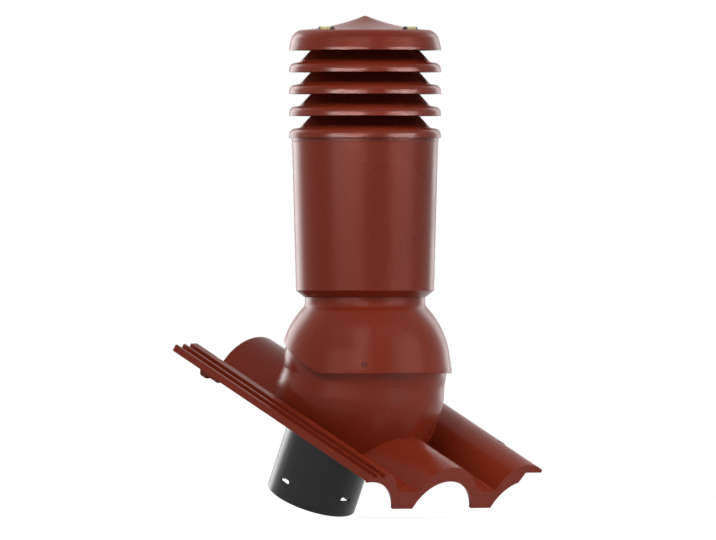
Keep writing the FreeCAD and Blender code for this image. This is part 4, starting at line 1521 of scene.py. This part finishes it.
@dataclass
class Studio:
    """Camera, lamps, pale floor and white surroundings."""

    look: Vector = field(default_factory=lambda: Vector((0.7009, 0.7133, 0)).normalized())
    across: Vector = field(default_factory=lambda: Vector((0.7133, -0.7009, 0)).normalized())
    distance: float = 30.0
    sensor_mm: float = 36.0
    clip: tuple[float, float] = (1.0, 200.0)
    frame_width: float = 0.9808
    shift_left: float = 0.00966
    rise: float = 0.1315
    ambient: float = 0.1
    floor_radius: float = 3.0
    floor_steps: int = 96
    floor_gap: float = 0.001
    floor_middle: float = -0.15
    floor_colour: str = "c4c4c4"
    floor_glow: float = 1.5
    glow_share: float = 0.6
    boxes: tuple[Softbox, ...] = (
        Softbox("left_band", -28.0, 3.0, 0.35, (2.6, 1.6), 2.3, in_plain=False),
        Softbox("right_band", 62.0, 3.0, 0.7, (2.2, 2.6), 2.3, in_plain=False),
        Softbox("high_band", -5.0, 2.6, 1.7, (1.0, 2.4), 2.6, in_plain=False),
        Softbox("left_grid", -28.0, 2.5, 0.78, (0.33, 0.16), 145.0, 14.0, 0.39, 7, 7.5, in_plain=False),
        Softbox("right_grid", 60.0, 2.5, 0.78, (0.33, 0.16), 130.0, 14.0, 0.39, 6, 7.5, in_plain=False),
        Softbox("left_key", -28.0, 3.0, 3.0, (3.0, 1.2), 8.0, in_gloss=False),
        Softbox("right_key", 50.0, 3.0, 3.0, (3.0, 1.2), 6.4, in_gloss=False),
        Softbox("apron_fill", 50.0, 0.8, -0.12, (0.5, 0.16), 14.0, 60.0, -0.15, in_gloss=False),
        Softbox("rear_left", -140.0, 2.5, 0.5, (1.2, 2.2), 4.6),
        Softbox("rear_left_plain", -112.0, 2.5, 0.9, (1.2, 2.2), 2.4, in_gloss=False),
        Softbox("rear_right", 145.0, 2.5, 0.5, (0.8, 2.2), 2.8),
    )

    def camera(self) -> None:
        """Long lens level with the flue, at the photograph's angle."""
        data = bpy.data.cameras.new("camera")
        data.sensor_width = self.sensor_mm
        data.lens = self.sensor_mm * self.distance / self.frame_width
        data.clip_start, data.clip_end = self.clip
        camera = bpy.data.objects.new("camera", data)
        bpy.context.scene.collection.objects.link(camera)
        middle = swivel_centre() - self.across * self.shift_left + Vector((0, 0, self.rise))
        camera.location = middle - self.look * self.distance
        camera.rotation_mode = "QUATERNION"
        camera.rotation_quaternion = self.look.to_track_quat("-Z", "Y")
        bpy.context.scene.camera = camera

    def lamps(self) -> None:
        """Softboxes round the vent, each as bright as its radiance says whatever its size."""
        for box in self.boxes:
            target = swivel_centre() + Vector((0, 0, box.target))
            for index, side in enumerate(box.sides()):
                data = bpy.data.lights.new(f"{box.name}_{index}", "AREA")
                data.shape = "RECTANGLE"
                data.size, data.size_y = box.size
                area = box.size[0] * box.size[1]
                data.energy = box.radiance * math.pi * area * grid_share(box.spread_deg)
                data.spread = math.radians(box.spread_deg)
                lamp = bpy.data.objects.new(data.name, data)
                bpy.context.scene.collection.objects.link(lamp)
                turn = Quaternion(UP, math.radians(side))
                lamp.location = Vector((target.x, target.y, box.height)) + turn @ -self.look * box.distance
                lamp.rotation_mode = "QUATERNION"
                lamp.rotation_quaternion = (target - lamp.location).to_track_quat("-Z", "Y")
                lamp.visible_glossy = box.in_gloss
                lamp.visible_diffuse = box.in_plain

    def white_paths(self, tree: bpy.types.NodeTree) -> bpy.types.NodeSocket:
        """Factor that is one for rays that should see pure white.

        Args:
            tree: Tree of the world or of a material.

        Returns:
            The factor's output socket.
        """
        path = add_node(tree, "ShaderNodeLightPath")
        pair = add_node(
            tree,
            "ShaderNodeMath",
            {"operation": "MAXIMUM"},
            links={0: path.outputs["Is Camera Ray"], 1: path.outputs["Is Glossy Ray"]},
        )
        both = add_node(
            tree,
            "ShaderNodeMath",
            {"operation": "MAXIMUM"},
            links={0: pair.outputs[0], 1: path.outputs["Is Transmission Ray"]},
        )
        return both.outputs[0]

    def world(self) -> None:
        """White for what the camera and gloss see, and a softer level for plain light."""
        world = bpy.data.worlds.new("studio")
        bpy.context.scene.world = world
        world.use_nodes = True
        tree = world.node_tree
        tree.nodes.clear()
        colour = linear("ffffff")
        plain = add_node(tree, "ShaderNodeBackground", values={"Color": colour, "Strength": self.ambient})
        white = add_node(tree, "ShaderNodeBackground", values={"Color": colour, "Strength": 1.0})
        mixed = add_node(
            tree,
            "ShaderNodeMixShader",
            links={0: self.white_paths(tree), 1: plain.outputs[0], 2: white.outputs[0]},
        )
        add_node(tree, "ShaderNodeOutputWorld", links={"Surface": mixed.outputs[0]})

    def floor(self) -> None:
        """Pale round floor just below the vent: white to the camera, but it keeps the shadow."""
        shape = bmesh.new()
        bmesh.ops.create_circle(shape, cap_ends=True, segments=self.floor_steps, radius=self.floor_radius)
        mesh = bpy.data.meshes.new("floor")
        shape.to_mesh(mesh)
        shape.free()
        floor = mesh_object("floor", mesh)
        floor.location = (0, self.floor_middle, CAD_BOX[0].z - self.floor_gap)
        material = bpy.data.materials.new("pale_floor")
        material.use_nodes = True
        tree = material.node_tree
        tree.nodes.clear()
        matt = add_node(tree, "ShaderNodeBsdfDiffuse", values={"Color": linear(self.floor_colour)})
        colour = linear("ffffff")
        glow = add_node(tree, "ShaderNodeEmission", values={"Color": colour, "Strength": self.floor_glow})
        share = add_node(
            tree,
            "ShaderNodeMath",
            {"operation": "MULTIPLY"},
            {1: self.glow_share},
            {0: self.white_paths(tree)},
        )
        mixed = add_node(
            tree, "ShaderNodeMixShader", links={0: share.outputs[0], 1: matt.outputs[0], 2: glow.outputs[0]}
        )
        add_node(tree, "ShaderNodeOutputMaterial", links={"Surface": mixed.outputs[0]})
        mesh.materials.append(material)

    def build(self) -> None:
        """Set up the view, the light and the surroundings."""
        self.camera()
        self.lamps()
        self.world()
        self.floor()
        bpy.context.scene.view_settings.view_transform = "Standard"


def main() -> None:
    """Build every sub-assembly, then the studio."""
    logging.basicConfig(level=logging.INFO, format="%(name)s: %(message)s")
    palette = Palette()
    for kind in (Bell, Shroud, Louvres, Cap, Tile, InnerPieces):
        kind(palette).build()
        LOG.info("%s built", kind.__name__)
    Studio().build()


if __name__ == "__main__":
    main()
